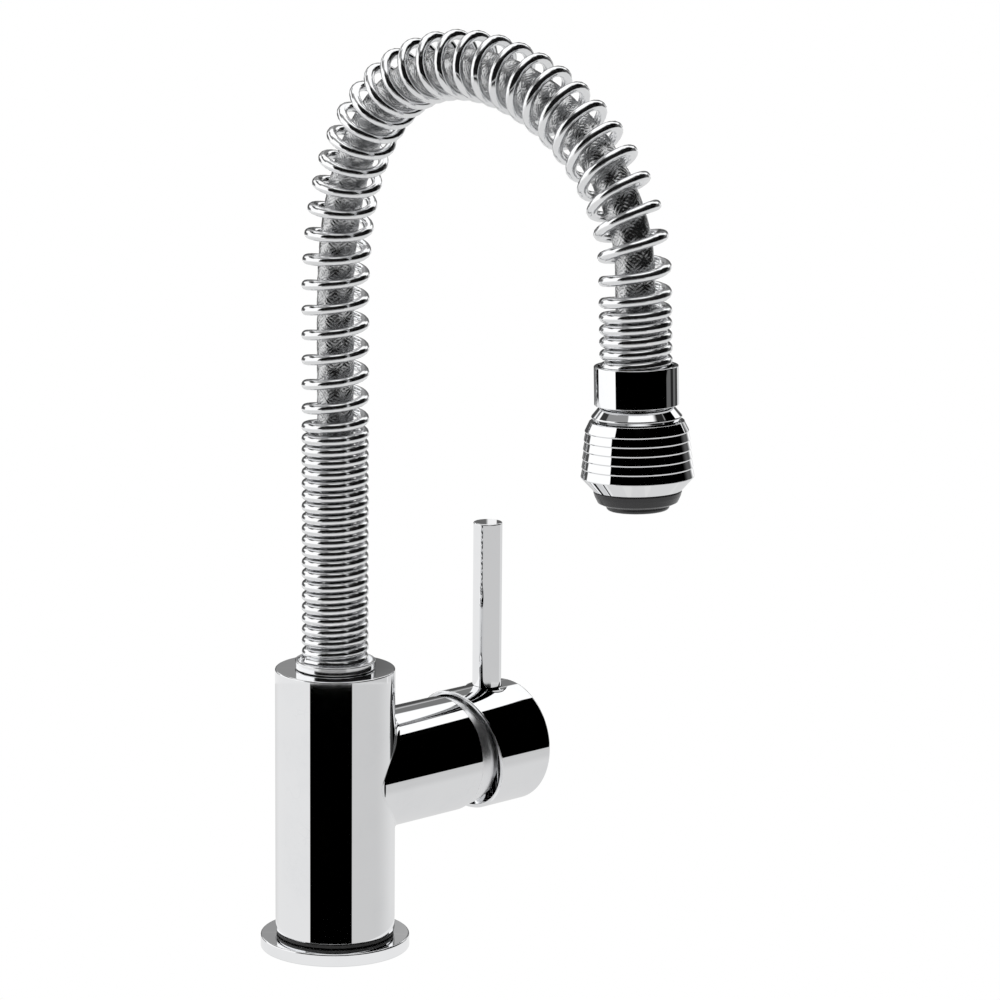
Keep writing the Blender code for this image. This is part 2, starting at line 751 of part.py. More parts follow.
def spout_foot():
    low = barrel_top + fit_gap
    roof = low + slip_thickness + fit_gap
    hole = stem_radius + fit_gap
    out = slip_outer_radius + fit_gap
    inside = slip_inner_radius - fit_gap
    collar = [(collar_recess_radius, collar_top), (collar_radius - collar_edge, collar_top),
              (collar_radius, collar_top - collar_edge), (collar_radius, low + collar_edge),
              (collar_radius - collar_edge, low), (out, low), (out, roof), (inside, roof), (inside, low),
              (hole, low), (hole, collar_floor), (collar_recess_radius, collar_floor)]
    turned("swivel_collar", collar, faucet, round_sides, chrome)
    slip = [(slip_inner_radius, low + slip_thickness), (slip_outer_radius, low + slip_thickness),
            (slip_outer_radius, low), (slip_inner_radius, low)]
    turned("slip_ring", slip, faucet, round_sides, white)


def shoulder_top():
    return collar_floor + fit_gap + stem_shoulder_height


def spout_stem():
    top = shoulder_top() + nipple_length
    outline = [(stem_bore_radius, top), (nipple_radius, top), (nipple_radius, shoulder_top()),
               (stem_shoulder_radius, shoulder_top()), (stem_shoulder_radius, collar_floor + fit_gap),
               (stem_radius, collar_floor + fit_gap)]
    lock_half = lock_groove_width / 2
    grooves = [(stem_seal_high, seal_room, stem_groove_radius),
               (set_screw_height, lock_half, lock_groove_radius),
               (stem_seal_low, seal_room, stem_groove_radius)]
    for height, half, radius in grooves:
        outline += [(stem_radius, height + half), (radius, height + half), (radius, height - half),
                    (stem_radius, height - half)]
    outline += [(stem_radius, stem_bottom), (stem_bore_radius, stem_bottom)]
    turned("spout_stem", outline, faucet, inner_sides, brass)
    for name, height in (("upper_stem_seal", stem_seal_high), ("lower_stem_seal", stem_seal_low)):
        turned(name, seal_outline(stem_seal_ring_radius, height), faucet, inner_sides, rubber)


# The route of the hose and spring, in the plane X = 0

def head_origin():
    return Vector((0, -reach, head_height))


def head_up():
    return Vector((0, sin(head_lean), cos(head_lean)))


def arch_point(share):
    start = Vector((0, 0, bend_start))
    end = head_origin() + head_up() * head_straight
    handles = [start, start + Vector((0, 0, foot_pull)), end + head_up() * head_pull, end]
    back = 1 - share
    weights = [back ** 3, 3 * back ** 2 * share, 3 * back * share ** 2, share ** 3]
    return sum((w * p for w, p in zip(weights, handles)), Vector((0, 0, 0)))


def route_table():
    # places along the route with their distance from the collar's floor, in small steps
    places = [Vector((0, 0, collar_floor))]
    places += [arch_point(i / route_steps) for i in range(route_steps + 1)]
    places.append(head_origin() - head_up() * head_recess_depth)
    distances = [0]
    for a, b in zip(places, places[1:]):
        distances.append(distances[-1] + (b - a).length)
    return places, distances


def along(distance, table):
    # the point at a distance along the route, and the route's direction there
    places, distances = table
    i = 1
    while i < len(distances) - 1 and distances[i] < distance:
        i += 1
    span = distances[i] - distances[i - 1]
    share = (distance - distances[i - 1]) / span
    here = places[i - 1].lerp(places[i], share)
    before = (places[i] - places[i - 1]).normalized()
    if 1 < i < len(places) - 1:
        last = (places[i - 1] - places[i - 2]).normalized()
        following = (places[i + 1] - places[i]).normalized()
        start_way = (last + before).normalized()
        end_way = (before + following).normalized()
        before = start_way.lerp(end_way, share).normalized()
    return here, before


def outward(way):
    # square to the route, away from the inside of the arch
    return way.cross(Vector((1, 0, 0))).normalized()


def hose_route(count, overrun=0):
    table = route_table()
    start = shoulder_top() + fit_gap - collar_floor - overrun
    end = table[1][-1] - head_recess_depth + hose_end_depth() + overrun
    arch_start = bend_start - collar_floor
    arch_end = table[1][-1] - head_recess_depth - head_straight
    points = []
    for i in range(count):
        distance = start + (end - start) * i / (count - 1)
        here, way = along(distance, table)
        share = min(max((distance - arch_start) / (arch_end - arch_start), 0), 1)
        points.append(here - outward(way) * hose_inset * sin(pi * share))
    return points


def hose_end_depth():
    return head_recess_depth - fit_gap - nipple_shoulder_height - fit_gap


def hose():
    liner_radius = braid_bore_radius - fit_gap
    sleeves = [("hose_braid", hose_radius, braid_bore_radius, braid),
               ("hose_liner", liner_radius, hose_bore_radius, rubber)]
    for name, radius, bore_radius, material in sleeves:
        sleeve = tube(name, hose_route(hose_points), radius, hose_bevel_steps, faucet, material)
        way = hose_route(hose_points, cut_overrun)
        carve(sleeve, tube(name + "_bore", way, bore_radius, hose_bevel_steps, cutters))
    low = shoulder_top() + fit_gap
    inner = hose_radius + fit_gap
    ferrule = [(inner, ferrule_length), (ferrule_radius, ferrule_length), (ferrule_radius, 0), (inner, 0)]
    turned("lower_ferrule", ferrule, faucet, inner_sides, steel, None, (0, 0, low))
    turned("upper_ferrule", ferrule, faucet, inner_sides, steel, head_axis, (0, 0, -hose_end_depth()))


def ramp(turns):
    # zero before the change of pitch and one for one after it, with a soft corner
    if turns <= -ramp_curls:
        return 0
    if turns >= ramp_curls:
        return turns
    return (turns + ramp_curls) ** 2 / (4 * ramp_curls)


def spring_point(turns, table):
    # a point of the coil's centreline, a number of turns above its lower end
    seat = wire_radius + 2 * fit_gap
    curls = foot_curls + open_curls + head_curls
    opening = (table[1][-1] - 2 * seat - tight_pitch * curls) / open_curls
    open_turns = ramp(turns - foot_curls) - ramp(turns - foot_curls - open_curls)
    here, way = along(seat + tight_pitch * turns + opening * open_turns, table)
    angle = coil_start_angle + 2 * pi * turns
    return here + coil_radius * (Vector((1, 0, 0)) * cos(angle) + outward(way) * sin(angle))


def spring_points(count_per_curl):
    table = route_table()
    curls = foot_curls + open_curls + head_curls
    total = round(curls * count_per_curl)
    points = [spring_point(curls * i / total, table) for i in range(total + 1)]
    # the wire's two ends run straight for one wire diameter
    start_way = (points[0] - spring_point(end_share, table)).normalized()
    end_way = (points[-1] - spring_point(curls - end_share, table)).normalized()
    return [points[0] + start_way * 2 * wire_radius, *points, points[-1] + end_way * 2 * wire_radius]


def least_gap(points, count_per_curl):
    # the least free space between one curl and the next ones
    least = None
    for i, a in enumerate(points):
        for b in points[i + count_per_curl // 2:i + 2 * count_per_curl]:
            distance = (a - b).length - 2 * wire_radius
            if least is None or distance < least:
                least = distance
    return least


def spring():
    points = spring_points(points_per_curl)
    tube("spring", points, wire_radius, 1, faucet, chrome)
    print("least gap between the spring's curls: %.2f mm" % (least_gap(points, points_per_curl) * 1000))


# Head collar and ball stud, in the head axis's frame: heights are depths with a minus sign

def head_end():
    roof = head_recess_depth
    thread = head_thread_radius + fit_gap
    lip = head_collar_radius - head_hollow_wall
    collar = [(head_recess_radius, 0), (head_collar_radius, 0), (head_collar_radius, -head_collar_height),
              (lip, -head_collar_height), (head_hollow_radius, -head_thread_end), (thread, -head_thread_end),
              (thread, -roof), (head_recess_radius, -roof)]
    turned("head_collar", collar, faucet, round_sides, chrome, head_axis)
    shoulder_low = -(roof - fit_gap)
    shoulder_high = shoulder_low + nipple_shoulder_height
    top = shoulder_high + nipple_length
    nipple = [(stem_bore_radius, top), (nipple_radius, top), (nipple_radius, shoulder_high),
              (nipple_shoulder_radius, shoulder_high), (nipple_shoulder_radius, shoulder_low),
              (head_thread_radius, shoulder_low), (head_thread_radius, shoulder_low - nipple_boss_length),
              (stem_bore_radius, shoulder_low - nipple_boss_length)]
    turned("hose_nipple", nipple, faucet, inner_sides, brass, head_axis)
    stud_top = shoulder_low - nipple_boss_length - fit_gap
    neck_angle = pi / 2 - asin(stud_neck_radius / ball_radius)
    end_angle = -pi / 2 + asin((stud_bore_radius + fit_gap) / ball_radius)
    ball = arc((0, -ball_depth), ball_radius, neck_angle, end_angle, ball_points * 2)
    stud = [(stud_bore_radius, stud_top), (head_thread_radius, stud_top),
            (head_thread_radius, -head_thread_end), (stud_neck_radius, -head_thread_end), *ball,
            (stud_bore_radius, ball[-1][1])]
    turned("ball_stud", stud, faucet, inner_sides, brass, head_axis)


# Spray head, in the ball's frame

def from_ball(points):
    # outline points given as (radius, depth below the head collar's top)
    return [(radius, ball_depth - depth) for radius, depth in points]


def seat_radius_at(depth):
    return sqrt((ball_radius + fit_gap) ** 2 - (depth - ball_depth) ** 2)


def neck_dome():
    cap = []
    for height, width in zip(dome_height_shares, dome_width_shares):
        cap.append((dome_top_radius + (dome_radius - dome_top_radius) * width,
                    dome_top_depth + (dome_full_depth - dome_top_depth) * height))
    room = seat_ring_radius + fit_gap
    seat_end = seat_ring_end + fit_gap
    thread = core_thread_radius + fit_gap
    ball_seat_radius = ball_radius + fit_gap
    catch = asin(dome_opening_radius / ball_seat_radius)
    seat = [(ball_seat_radius * sin(a), ball_depth - ball_seat_radius * cos(a))
            for a in (pi / 2, (pi / 2 + catch) / 2, catch)]
    outline = [(dome_opening_radius, dome_top_depth), *cap, (dome_radius, dome_full_depth + dome_land),
               (skirt_radius, skirt_start), (skirt_radius, skirt_end), (thread, skirt_end),
               (thread, seat_end), (room, seat_end), (room, ball_depth), *seat]
    turned("neck_dome", from_ball(outline), faucet, grip_sides, chrome, ball_axis)


def ball_seat():
    top = ball_depth + fit_gap
    middle = (top + seat_ring_end) / 2
    outline = [(seat_radius_at(top), top), (seat_ring_radius, top), (seat_ring_radius, seat_ring_end),
               (seat_radius_at(seat_ring_end), seat_ring_end), (seat_radius_at(middle), middle)]
    turned("ball_seat", from_ball(outline), faucet, grip_sides, white, ball_axis)


def head_core():
    top = seat_ring_end + 2 * fit_gap
    ball_room = ball_depth + ball_radius + fit_gap
    shelf = skirt_end + fit_gap
    outline = [(core_top_bore_radius, top), (core_thread_radius, top), (core_thread_radius, shelf),
               (core_radius, shelf)]
    for depth in (core_seal_high, core_seal_low):
        outline += [(core_radius, depth - seal_room), (core_groove_radius, depth - seal_room),
                    (core_groove_radius, depth + seal_room), (core_radius, depth + seal_room)]
    outline += [(core_radius, core_end), (core_socket_radius, core_end),
                (core_socket_radius, core_socket_start), (core_bore_radius, core_socket_start),
                (core_bore_radius, ball_room), (core_top_bore_radius, ball_room)]
    turned("head_core", from_ball(outline), faucet, inner_sides, grey, ball_axis)
    for name, depth in (("upper_core_seal", core_seal_high), ("lower_core_seal", core_seal_low)):
        ring = seal_outline(core_seal_ring_radius, ball_depth - depth)
        turned(name, ring, faucet, inner_sides, rubber, ball_axis)


def ribbed_bell():
    # a steep shoulder, then ribs that widen slightly downwards, each set back by a small step
    outside = [(bell_top_radius, bell_start), (bell_shoulder_radius, ribs_start - rib_edge)]
    growth = (bell_radius - bell_shoulder_radius) / bell_ribs
    for i in range(bell_ribs):
        top = ribs_start + i * rib_pitch
        start = bell_shoulder_radius + i * growth - rib_step
        outside += [(start, top), (bell_shoulder_radius + (i + 1) * growth, top + rib_pitch - rib_edge)]
    outside.append((bell_radius, ribs_end))
    skirt = skirt_radius + fit_gap
    slide = core_radius + fit_gap
    step = skirt_end + fit_gap
    recess_start = bell_end - nozzle_recess_depth
    outline = [(skirt, bell_start), *outside, (bell_end_radius, bell_end), (nozzle_recess_radius, bell_end),
               (nozzle_recess_radius, recess_start), (slide, recess_start), (slide, step), (skirt, step)]
    turned("ribbed_bell", from_ball(outline), faucet, grip_sides, chrome, ball_axis)


def nozzle():
    inner = insert_radius + fit_gap
    spigot = nozzle_recess_radius - fit_gap
    top = bell_end - nozzle_recess_depth + fit_gap
    ring = [(inner, top), (spigot, top), (spigot, bell_end + fit_gap), (bell_end_radius, bell_end + fit_gap),
            (nozzle_shoulder_radius, bell_end + nozzle_shoulder_drop),
            (nozzle_low_radius, bell_end + nozzle_low_drop), (nozzle_end_radius, bell_end + nozzle_end_drop),
            (inner, bell_end + nozzle_end_drop)]
    turned("nozzle_ring", from_ball(ring), faucet, grip_sides, black, ball_axis)
    spigot = core_socket_radius - fit_gap
    flange = core_end + fit_gap
    lip = insert_end - insert_lip_thickness
    insert = [(insert_bore_radius, insert_top), (spigot, insert_top), (spigot, flange),
              (insert_radius, flange), (insert_radius, insert_end - insert_edge),
              (insert_radius - insert_edge, insert_end), (insert_lip_radius, insert_end),
              (insert_lip_radius, lip), (insert_bore_radius, lip)]
    turned("nozzle_insert", from_ball(insert), faucet, inner_sides, black, ball_axis)


def aerator():
    radius = insert_bore_radius - fit_gap
    inner = radius - cage_wall
    low = insert_end - insert_lip_thickness - fit_gap
    roof = cage_top + cage_wall
    outline = [(0, cage_top), (radius, cage_top), (radius, low), (inner, low), (inner, roof), (0, roof)]
    cage = turned("aerator_cage", from_ball(outline), faucet, inner_sides, white, ball_axis)
    high = ball_depth - cage_top + cut_overrun
    deep = ball_depth - roof - cut_overrun
    for i in range(cage_holes):
        turn = 2 * pi * i / cage_holes
        x, y = cage_hole_circle * cos(turn), cage_hole_circle * sin(turn)
        carve(cage, cylinder("cage_hole_%d" % i, cage_hole_radius, (x, y, deep), (x, y, high), cutters, 6,
                             None, ball_axis))
    disc = inner - fit_gap
    for name, place in (("upper_screen", 1), ("lower_screen", 2)):
        top = roof + place * screen_spacing
        screen = [(0, top), (disc, top), (disc, top + screen_thickness), (0, top + screen_thickness)]
        turned(name, from_ball(screen), faucet, inner_sides, steel, ball_axis)


def settle(group):
    # every piece takes its finished shape as its mesh, shaded smooth between its sharp edges
    bpy.context.view_layer.update()
    depsgraph = bpy.context.evaluated_depsgraph_get()
    finished = {}
    for item in group.objects:
        if item.type == "MESH":
            finished[item] = bpy.data.meshes.new_from_object(item.evaluated_get(depsgraph))
    for item, mesh in finished.items():
        item.modifiers.clear()
        item.data = mesh
        mesh.name = item.name
        mesh.shade_smooth()
        mesh.set_sharp_from_angle(angle=radians(32))


clear_scene()
faucet = collection("flexible_kitchen_faucet")
cutters = collection("cutters")
chrome = finish("chrome", chrome_color, 0.05, 1)
steel = finish("steel", steel_color, 0.3, 1)
braid = finish("steel_braid", steel_color, 0.35, 1)
brass = finish("brass", brass_color, 0.3, 1)
black = finish("black_plastic", black_color, 0.4, 0)
grey = finish("grey_plastic", grey_color, 0.4, 0)
white = finish("white_plastic", white_color, 0.4, 0)
ceramic = finish("ceramic", ceramic_color, 0.15, 0)
rubber = finish("rubber", rubber_color, 0.6, 0)

# The arm's frame runs outwards along +X, so its own X points down. The tilt axis is on the pin.
arm_axis = axis_empty("arm_axis", (0, 0, arm_height), (0, pi / 2, 0))
tilt_axis = axis_empty("tilt_axis", (0, 0, pivot_reach), parent=arm_axis)
head_axis = axis_empty("head_axis", head_origin(), (-head_lean, 0, 0))
ball_axis = axis_empty("ball_axis", (0, 0, -ball_depth), parent=head_axis)

base_flange()
mixer_body()
stem_screw()
cartridge_housing()
port_seals()
ceramic_discs()
turret()
cartridge_nut()
dress_ring()
spindle()
handle_cap()
lever_and_screws()
spout_foot()
spout_stem()
hose()
spring()
head_end()
neck_dome()
ball_seat()
head_core()
ribbed_bell()
nozzle()
aerator()
settle(faucet)
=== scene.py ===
# Flexible kitchen faucet: the dressed model. Metres, +Z up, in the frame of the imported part.
from math import asin, ceil, cos, pi, radians, sin, sqrt, tan

import bmesh
import bpy
import numpy as np
from mathutils import Matrix, Vector


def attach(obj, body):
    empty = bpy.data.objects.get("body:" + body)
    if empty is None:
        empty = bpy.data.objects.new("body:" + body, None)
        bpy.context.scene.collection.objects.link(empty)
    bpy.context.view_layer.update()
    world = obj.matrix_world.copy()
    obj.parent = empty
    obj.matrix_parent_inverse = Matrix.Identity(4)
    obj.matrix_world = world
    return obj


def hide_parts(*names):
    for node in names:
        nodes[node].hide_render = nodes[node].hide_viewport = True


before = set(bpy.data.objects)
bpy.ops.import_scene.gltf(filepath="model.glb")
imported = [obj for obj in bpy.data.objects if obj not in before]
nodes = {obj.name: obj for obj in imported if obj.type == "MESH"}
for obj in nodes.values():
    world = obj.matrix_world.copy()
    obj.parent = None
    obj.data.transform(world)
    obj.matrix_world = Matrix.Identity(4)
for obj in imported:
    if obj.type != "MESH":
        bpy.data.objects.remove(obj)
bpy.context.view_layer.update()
made = bpy.data.collections.new("dressedFaucet")
bpy.context.scene.collection.children.link(made)

# Sizes stand beside the pieces that use them. They are the solids' own, in metres, apart from the
# spring's thicker wire, the dome's finer profile and the collar's deeper floor.
fitGap = 0.0003  # between pieces that sit in each other
roundStep = radians(11)  # the longest step of a rounded edge
hairEdge, softEdge = 0.0002, 0.0003  # roundings of edges that hardly show
standing = Matrix.Identity(4)

view = {"yaw": radians(-43.8616), "pitch": radians(11.7404), "roll": radians(0.4972), "focal": 4207.9,
        "place": (-1.08102, -1.21876, 0.52216), "sensor": 36.0, "picture": 1000.0}


def makeCamera():
    a, p, r = view["yaw"], view["pitch"], view["roll"]
    ahead = Vector((-sin(a) * cos(p), cos(a) * cos(p), -sin(p)))
    right = Vector((cos(a), sin(a), 0))
    up = right.cross(ahead)
    turnedRight = right * cos(r) + up * sin(r)
    turnedUp = up * cos(r) - right * sin(r)
    data = bpy.data.cameras.new("camera")
    data.sensor_width = view["sensor"]
    data.lens = view["focal"] / view["picture"] * view["sensor"]
    data.clip_start = 0.05
    data.clip_end = 50
    camera = bpy.data.objects.new("camera", data)
    bpy.context.scene.collection.objects.link(camera)
    turn = Matrix((turnedRight, turnedUp, -ahead)).transposed().to_4x4()
    camera.matrix_world = Matrix.Translation(view["place"]) @ turn
    bpy.context.scene.camera = camera
    return right


class Wiring:
    # short calls that put nodes into a tree

    def __init__(self, tree):
        self.tree = tree

    def node(self, kind, **settings):
        made = self.tree.nodes.new(kind)
        for key, value in settings.items():
            setattr(made, key, value)
        return made

    def join(self, source, target):
        self.tree.links.new(source, target)

    def feed(self, target, value):
        if isinstance(value, bpy.types.NodeSocket):
            self.join(value, target)
        else:
            target.default_value = value

    def math(self, operation, *values):
        made = self.node("ShaderNodeMath", operation=operation)
        for target, value in zip(made.inputs, values):
            self.feed(target, value)
        return made.outputs[0]

    def vector(self, operation, *values):
        made = self.node("ShaderNodeVectorMath", operation=operation)
        for target, value in zip(made.inputs, values):
            self.feed(target, value)
        return made.outputs["Value" if operation in ("DOT_PRODUCT", "LENGTH") else "Vector"]

    def step(self, value, low, high, bottom=0.0, top=1.0):
        made = self.node("ShaderNodeMapRange", interpolation_type="SMOOTHSTEP")
        for target, entry in zip(made.inputs, (value, low, high, bottom, top)):
            self.feed(target, entry)
        return made.outputs[0]

    def mix(self, share, first, second):
        made = self.node("ShaderNodeMix", data_type="RGBA")
        self.feed(made.inputs[0], share)
        self.feed(made.inputs[6], first)
        self.feed(made.inputs[7], second)
        return made.outputs[2]

    def blendValue(self, share, first, second):
        made = self.node("ShaderNodeMix", data_type="FLOAT")
        self.feed(made.inputs[0], share)
        self.feed(made.inputs[2], first)
        self.feed(made.inputs[3], second)
        return made.outputs[0]

    def noise(self, vector, scale, detail=3.0, roughness=0.5):
        made = self.node("ShaderNodeTexNoise")
        self.feed(made.inputs["Vector"], vector)
        made.inputs["Scale"].default_value = scale
        made.inputs["Detail"].default_value = detail
        made.inputs["Roughness"].default_value = roughness
        return made.outputs[0]


openLevel = 1.12  # what the chrome mirrors where no card stands

# Cards of the studio that the chrome mirrors: azimuth from the camera's side, positive to the right,
# then elevation, both in degrees, the card's brightness, and how soft its edges are.
cards = [
    (-181, -47, -120, -11.0, 0.84, 0.8, 0.05),
    (-181, -150, -120, -14.24, 0.72, 20.0, 0.02),
    (-47, 35, -120, -14.24, 0.0, 0.4, 0.02),
    (35, 181, -120, -14.24, 0.63, 0.4, 0.02),
    (115, 181, -120, -14.24, 0.77, 30.0, 0.02),
    (-181, -40, -14.24, -11.0, 0.88, 0.4, 0.02),
    (-40, 120, -14.24, -11.0, 0.61, 0.4, 0.02),
    (120, 181, -14.24, -11.0, 0.72, 6.0, 0.02),
    (-181, 181, -120, -24.5, 0.72, 1.0, 5.5),
    (-60, 131, -11.0, 47.5, 0.0, 0.5, 0.05),
    (-50, 112, 47.0, 61.0, 0.02, 3.0, 3.0),
    (118, 146, -7.0, 12.0, 0.10, 10.0, 0.5),
    (-122, -49, 41.0, 68.0, 0.30, 1.0, 1.0),
    (-150, -97, 29.0, 41.5, 0.04, 1.5, 1.0),
    (-181, -126, -7.0, 9.0, 0.08, 2.0, 1.0),
    (87.8, 104.5, -11.0, -7.0, 0.13, 0.5, 0.05),
    (104.5, 116.5, -11.0, -7.0, 0.02, 0.5, 0.05),
    (116.5, 127.5, -11.0, -7.0, 0.15, 0.5, 0.05),
    (127.5, 144, -11.0, -7.0, 0.05, 0.5, 0.05),
    (144, 181, -11.0, -7.0, 0.75, 0.5, 0.05),
    (-181, -139, -11.0, -7.0, 0.17, 0.6, 0.05),
    (-139, -126, -11.0, -7.0, 0.01, 0.6, 0.05),
    (153, 181, -4.0, 33.0, 0.20, 1.5, 1.0),
    (-181, -150, 4.0, 15.0, 0.06, 4.0, 1.0),
    (-177.8, -150, 12.7, 15.0, 0.27, 0.15, 0.3),
    (-181, -179.2, 11.6, 12.4, 0.95, 0.05, 0.1),
    (-179.82, -179.2, 11.6, 12.4, 0.14, 0.03, 0.1),
    (150, 181, 4.0, 15.0, 0.06, 4.0, 1.0),
    (-181, -150, 15.0, 33.0, 0.32, 4.0, 1.0),
]


def makeWorld(right):
    world = bpy.data.worlds.new("studio")
    world.use_nodes = True
    tree = world.node_tree
    tree.nodes.clear()
    w = Wiring(tree)
    way = w.node("ShaderNodeTexCoord").outputs["Generated"]
    across = w.vector("DOT_PRODUCT", way, right)
    near = w.vector("DOT_PRODUCT", way, Vector((0, 0, 1)).cross(-right))
    azimuth = w.math("MULTIPLY", w.math("ARCTAN2", across, near), 180 / pi)
    height = w.vector("DOT_PRODUCT", way, (0, 0, 1))
    elevation = w.math("MULTIPLY", w.math("ARCSINE", height), 180 / pi)
    level = openLevel
    for left, rightEdge, low, high, brightness, softSide, softEnd in cards:
        card = w.math("MULTIPLY", w.step(azimuth, left - softSide, left + softSide),
                      w.step(azimuth, rightEdge - softSide, rightEdge + softSide, 1.0, 0.0))
        card = w.math("MULTIPLY", card, w.step(elevation, low - softEnd, low + softEnd))
        card = w.math("MULTIPLY", card, w.step(elevation, high - softEnd, high + softEnd, 1.0, 0.0))
        level = w.blendValue(card, level, brightness)
    rays = w.node("ShaderNodeLightPath")
    mirrored = w.node("ShaderNodeBackground")
    w.join(level, mirrored.inputs["Color"])
    plain = w.node("ShaderNodeBackground")
    plain.inputs["Color"].default_value = (1, 1, 1, 1)
    plain.inputs["Strength"].default_value = 1.0
    choose = w.node("ShaderNodeMixShader")
    w.join(rays.outputs["Is Glossy Ray"], choose.inputs[0])
    w.join(plain.outputs[0], choose.inputs[1])
    w.join(mirrored.outputs[0], choose.inputs[2])
    w.join(choose.outputs[0], w.node("ShaderNodeOutputWorld").inputs[0])
    bpy.context.scene.world = world
    bpy.context.scene.view_settings.view_transform = "Standard"
    bpy.context.scene.view_settings.look = "None"


def glow(name, brightness):
    material = bpy.data.materials.new(name)
    material.use_nodes = True
    tree = material.node_tree
    tree.nodes.clear()
    w = Wiring(tree)
    light = w.node("ShaderNodeEmission")
    light.inputs["Color"].default_value = (brightness, brightness, brightness, 1)
    w.join(light.outputs[0], w.node("ShaderNodeOutputMaterial").inputs[0])
    return material


def stageMesh(name, points, faces, material, glossyOnly):
    mesh = bpy.data.meshes.new(name)
    mesh.from_pydata(points, [], faces)
    mesh.materials.append(material)
    item = bpy.data.objects.new(name, mesh)
    bpy.context.scene.collection.objects.link(item)
    item.visible_shadow = False
    if glossyOnly:
        item.visible_camera = False
        item.visible_diffuse = False
        item.visible_transmission = False
    else:
        item.visible_glossy = False
    return item


floorSize = {"half": 3.0, "cardIn": 0.0303, "cardOut": 0.0465, "cardHeight": 0.00002, "sides": 96}
floorLook = {"deep": (0.84, 0.84, 0.84, 1), "pale": (0.88, 0.88, 0.88, 1), "grain": 60.0, "rough": 0.9,
             "mirrored": 0.86}


def makeFloor(right):
    paint = bpy.data.materials.new("paleFloor")
    paint.use_nodes = True
    tree = paint.node_tree
    shader = tree.nodes["Principled BSDF"]
    w = Wiring(tree)
    grain = w.noise(w.node("ShaderNodeTexCoord").outputs["Object"], floorLook["grain"])
    w.join(w.mix(grain, floorLook["deep"], floorLook["pale"]), shader.inputs["Base Color"])
    shader.inputs["Roughness"].default_value = floorLook["rough"]
    light = w.node("ShaderNodeEmission")
    rays = w.node("ShaderNodeLightPath")
    choose = w.node("ShaderNodeMixShader")
    w.join(rays.outputs["Is Camera Ray"], choose.inputs[0])
    w.join(shader.outputs[0], choose.inputs[1])
    w.join(light.outputs[0], choose.inputs[2])
    w.join(choose.outputs[0], tree.nodes["Material Output"].inputs[0])
    half = floorSize["half"]
    corners = [(-half, -half, 0), (half, -half, 0), (half, half, 0), (-half, half, 0)]
    stageMesh("floor", corners, [(0, 1, 2, 3)], paint, False)
    # the floor beside the foot, which only the foot's own side mirrors
    near = Vector((0, 0, 1)).cross(-right)
    count = floorSize["sides"]
    lift = Vector((0, 0, floorSize["cardHeight"]))
    points, faces = [], []
    for i in range(count):
        angle = 2 * pi * i / count
        spoke = near * cos(angle) + right * sin(angle)
        points += [spoke * floorSize["cardIn"] + lift, spoke * floorSize["cardOut"] + lift]
        j = (i + 1) % count
        faces.append((2 * i, 2 * i + 1, 2 * j + 1, 2 * j))
    stageMesh("footCardPale", points, faces, glow("paleCard", floorLook["mirrored"]), True)


lampLook = {"size": 0.9, "energy": 9.0, "place": (-0.9, -0.5, 1.3)}


def makeLamp():
    data = bpy.data.lights.new("softLamp", "AREA")
    data.shape = "DISK"
    data.size = lampLook["size"]
    data.energy = lampLook["energy"]
    lamp = bpy.data.objects.new("softLamp", data)
    bpy.context.scene.collection.objects.link(lamp)
    lamp.location = lampLook["place"]
    lamp.rotation_euler = (-lamp.location).to_track_quat("-Z", "Y").to_euler()
    lamp.visible_glossy = False


rightWay = makeCamera()
makeWorld(rightWay)
makeFloor(rightWay)
makeLamp()
print("stage: camera, light and floor")


def socketGroup(name, inputs, outputs, build):
    tree = bpy.data.node_groups.new(name, "ShaderNodeTree")
    for title, kind, value in inputs:
        socket = tree.interface.new_socket(title, in_out="INPUT", socket_type=kind)
        if value is not None:
            socket.default_value = value
    for title, kind in outputs:
        tree.interface.new_socket(title, in_out="OUTPUT", socket_type=kind)
    w = Wiring(tree)
    source = w.node("NodeGroupInput")
    target = w.node("NodeGroupOutput")
    for title, value in build(w, source.outputs).items():
        w.join(value, target.inputs[title])
    return tree


def handledSurface(w, given):
    # cloudy traces of wiping, rare dried drops, and slight wear where an edge stands out
    place = given["Place"]
    cloud = w.step(w.noise(place, 38.0, 4.0, 0.6), 0.42, 0.74)
    fine = w.noise(place, 420.0, 3.0, 0.6)
    drops = w.node("ShaderNodeTexVoronoi", feature="DISTANCE_TO_EDGE")
    w.join(place, drops.inputs["Vector"])
    drops.inputs["Scale"].default_value = 230.0
    rim = w.step(drops.outputs["Distance"], 0.02, 0.06, 1.0, 0.0)
    rim = w.math("MULTIPLY", rim, w.step(w.noise(place, 61.0, 2.0), 0.63, 0.72))
    edge = w.step(w.node("ShaderNodeNewGeometry").outputs["Pointiness"], 0.53, 0.60)
    traces = w.math("ADD", w.math("MULTIPLY", cloud, fine), w.math("MULTIPLY", rim, 0.35))
    return {"Traces": traces, "Edge": edge, "Fine": fine}


surfaceGroup = socketGroup("handledSurface", [("Place", "NodeSocketVector", None)],
                           [("Traces", "NodeSocketFloat"), ("Edge", "NodeSocketFloat"),
                            ("Fine", "NodeSocketFloat")], handledSurface)


def latheLines(w, given):
    # fine tool lines around an axis that the coordinates' Z runs along
    apart = w.node("ShaderNodeSeparateXYZ")
    w.join(given["Place"], apart.inputs[0])
    across = w.math("SQRT", w.math("ADD", w.math("POWER", apart.outputs[0], 2.0),
                                   w.math("POWER", apart.outputs[1], 2.0)))
    run = w.math("ADD", across, apart.outputs[2])
    packed = w.node("ShaderNodeCombineXYZ")
    w.join(run, packed.inputs[0])
    w.join(w.math("MULTIPLY", across, 0.02), packed.inputs[1])
    return {"Lines": w.noise(packed.outputs[0], 5200.0, 2.0, 0.6)}


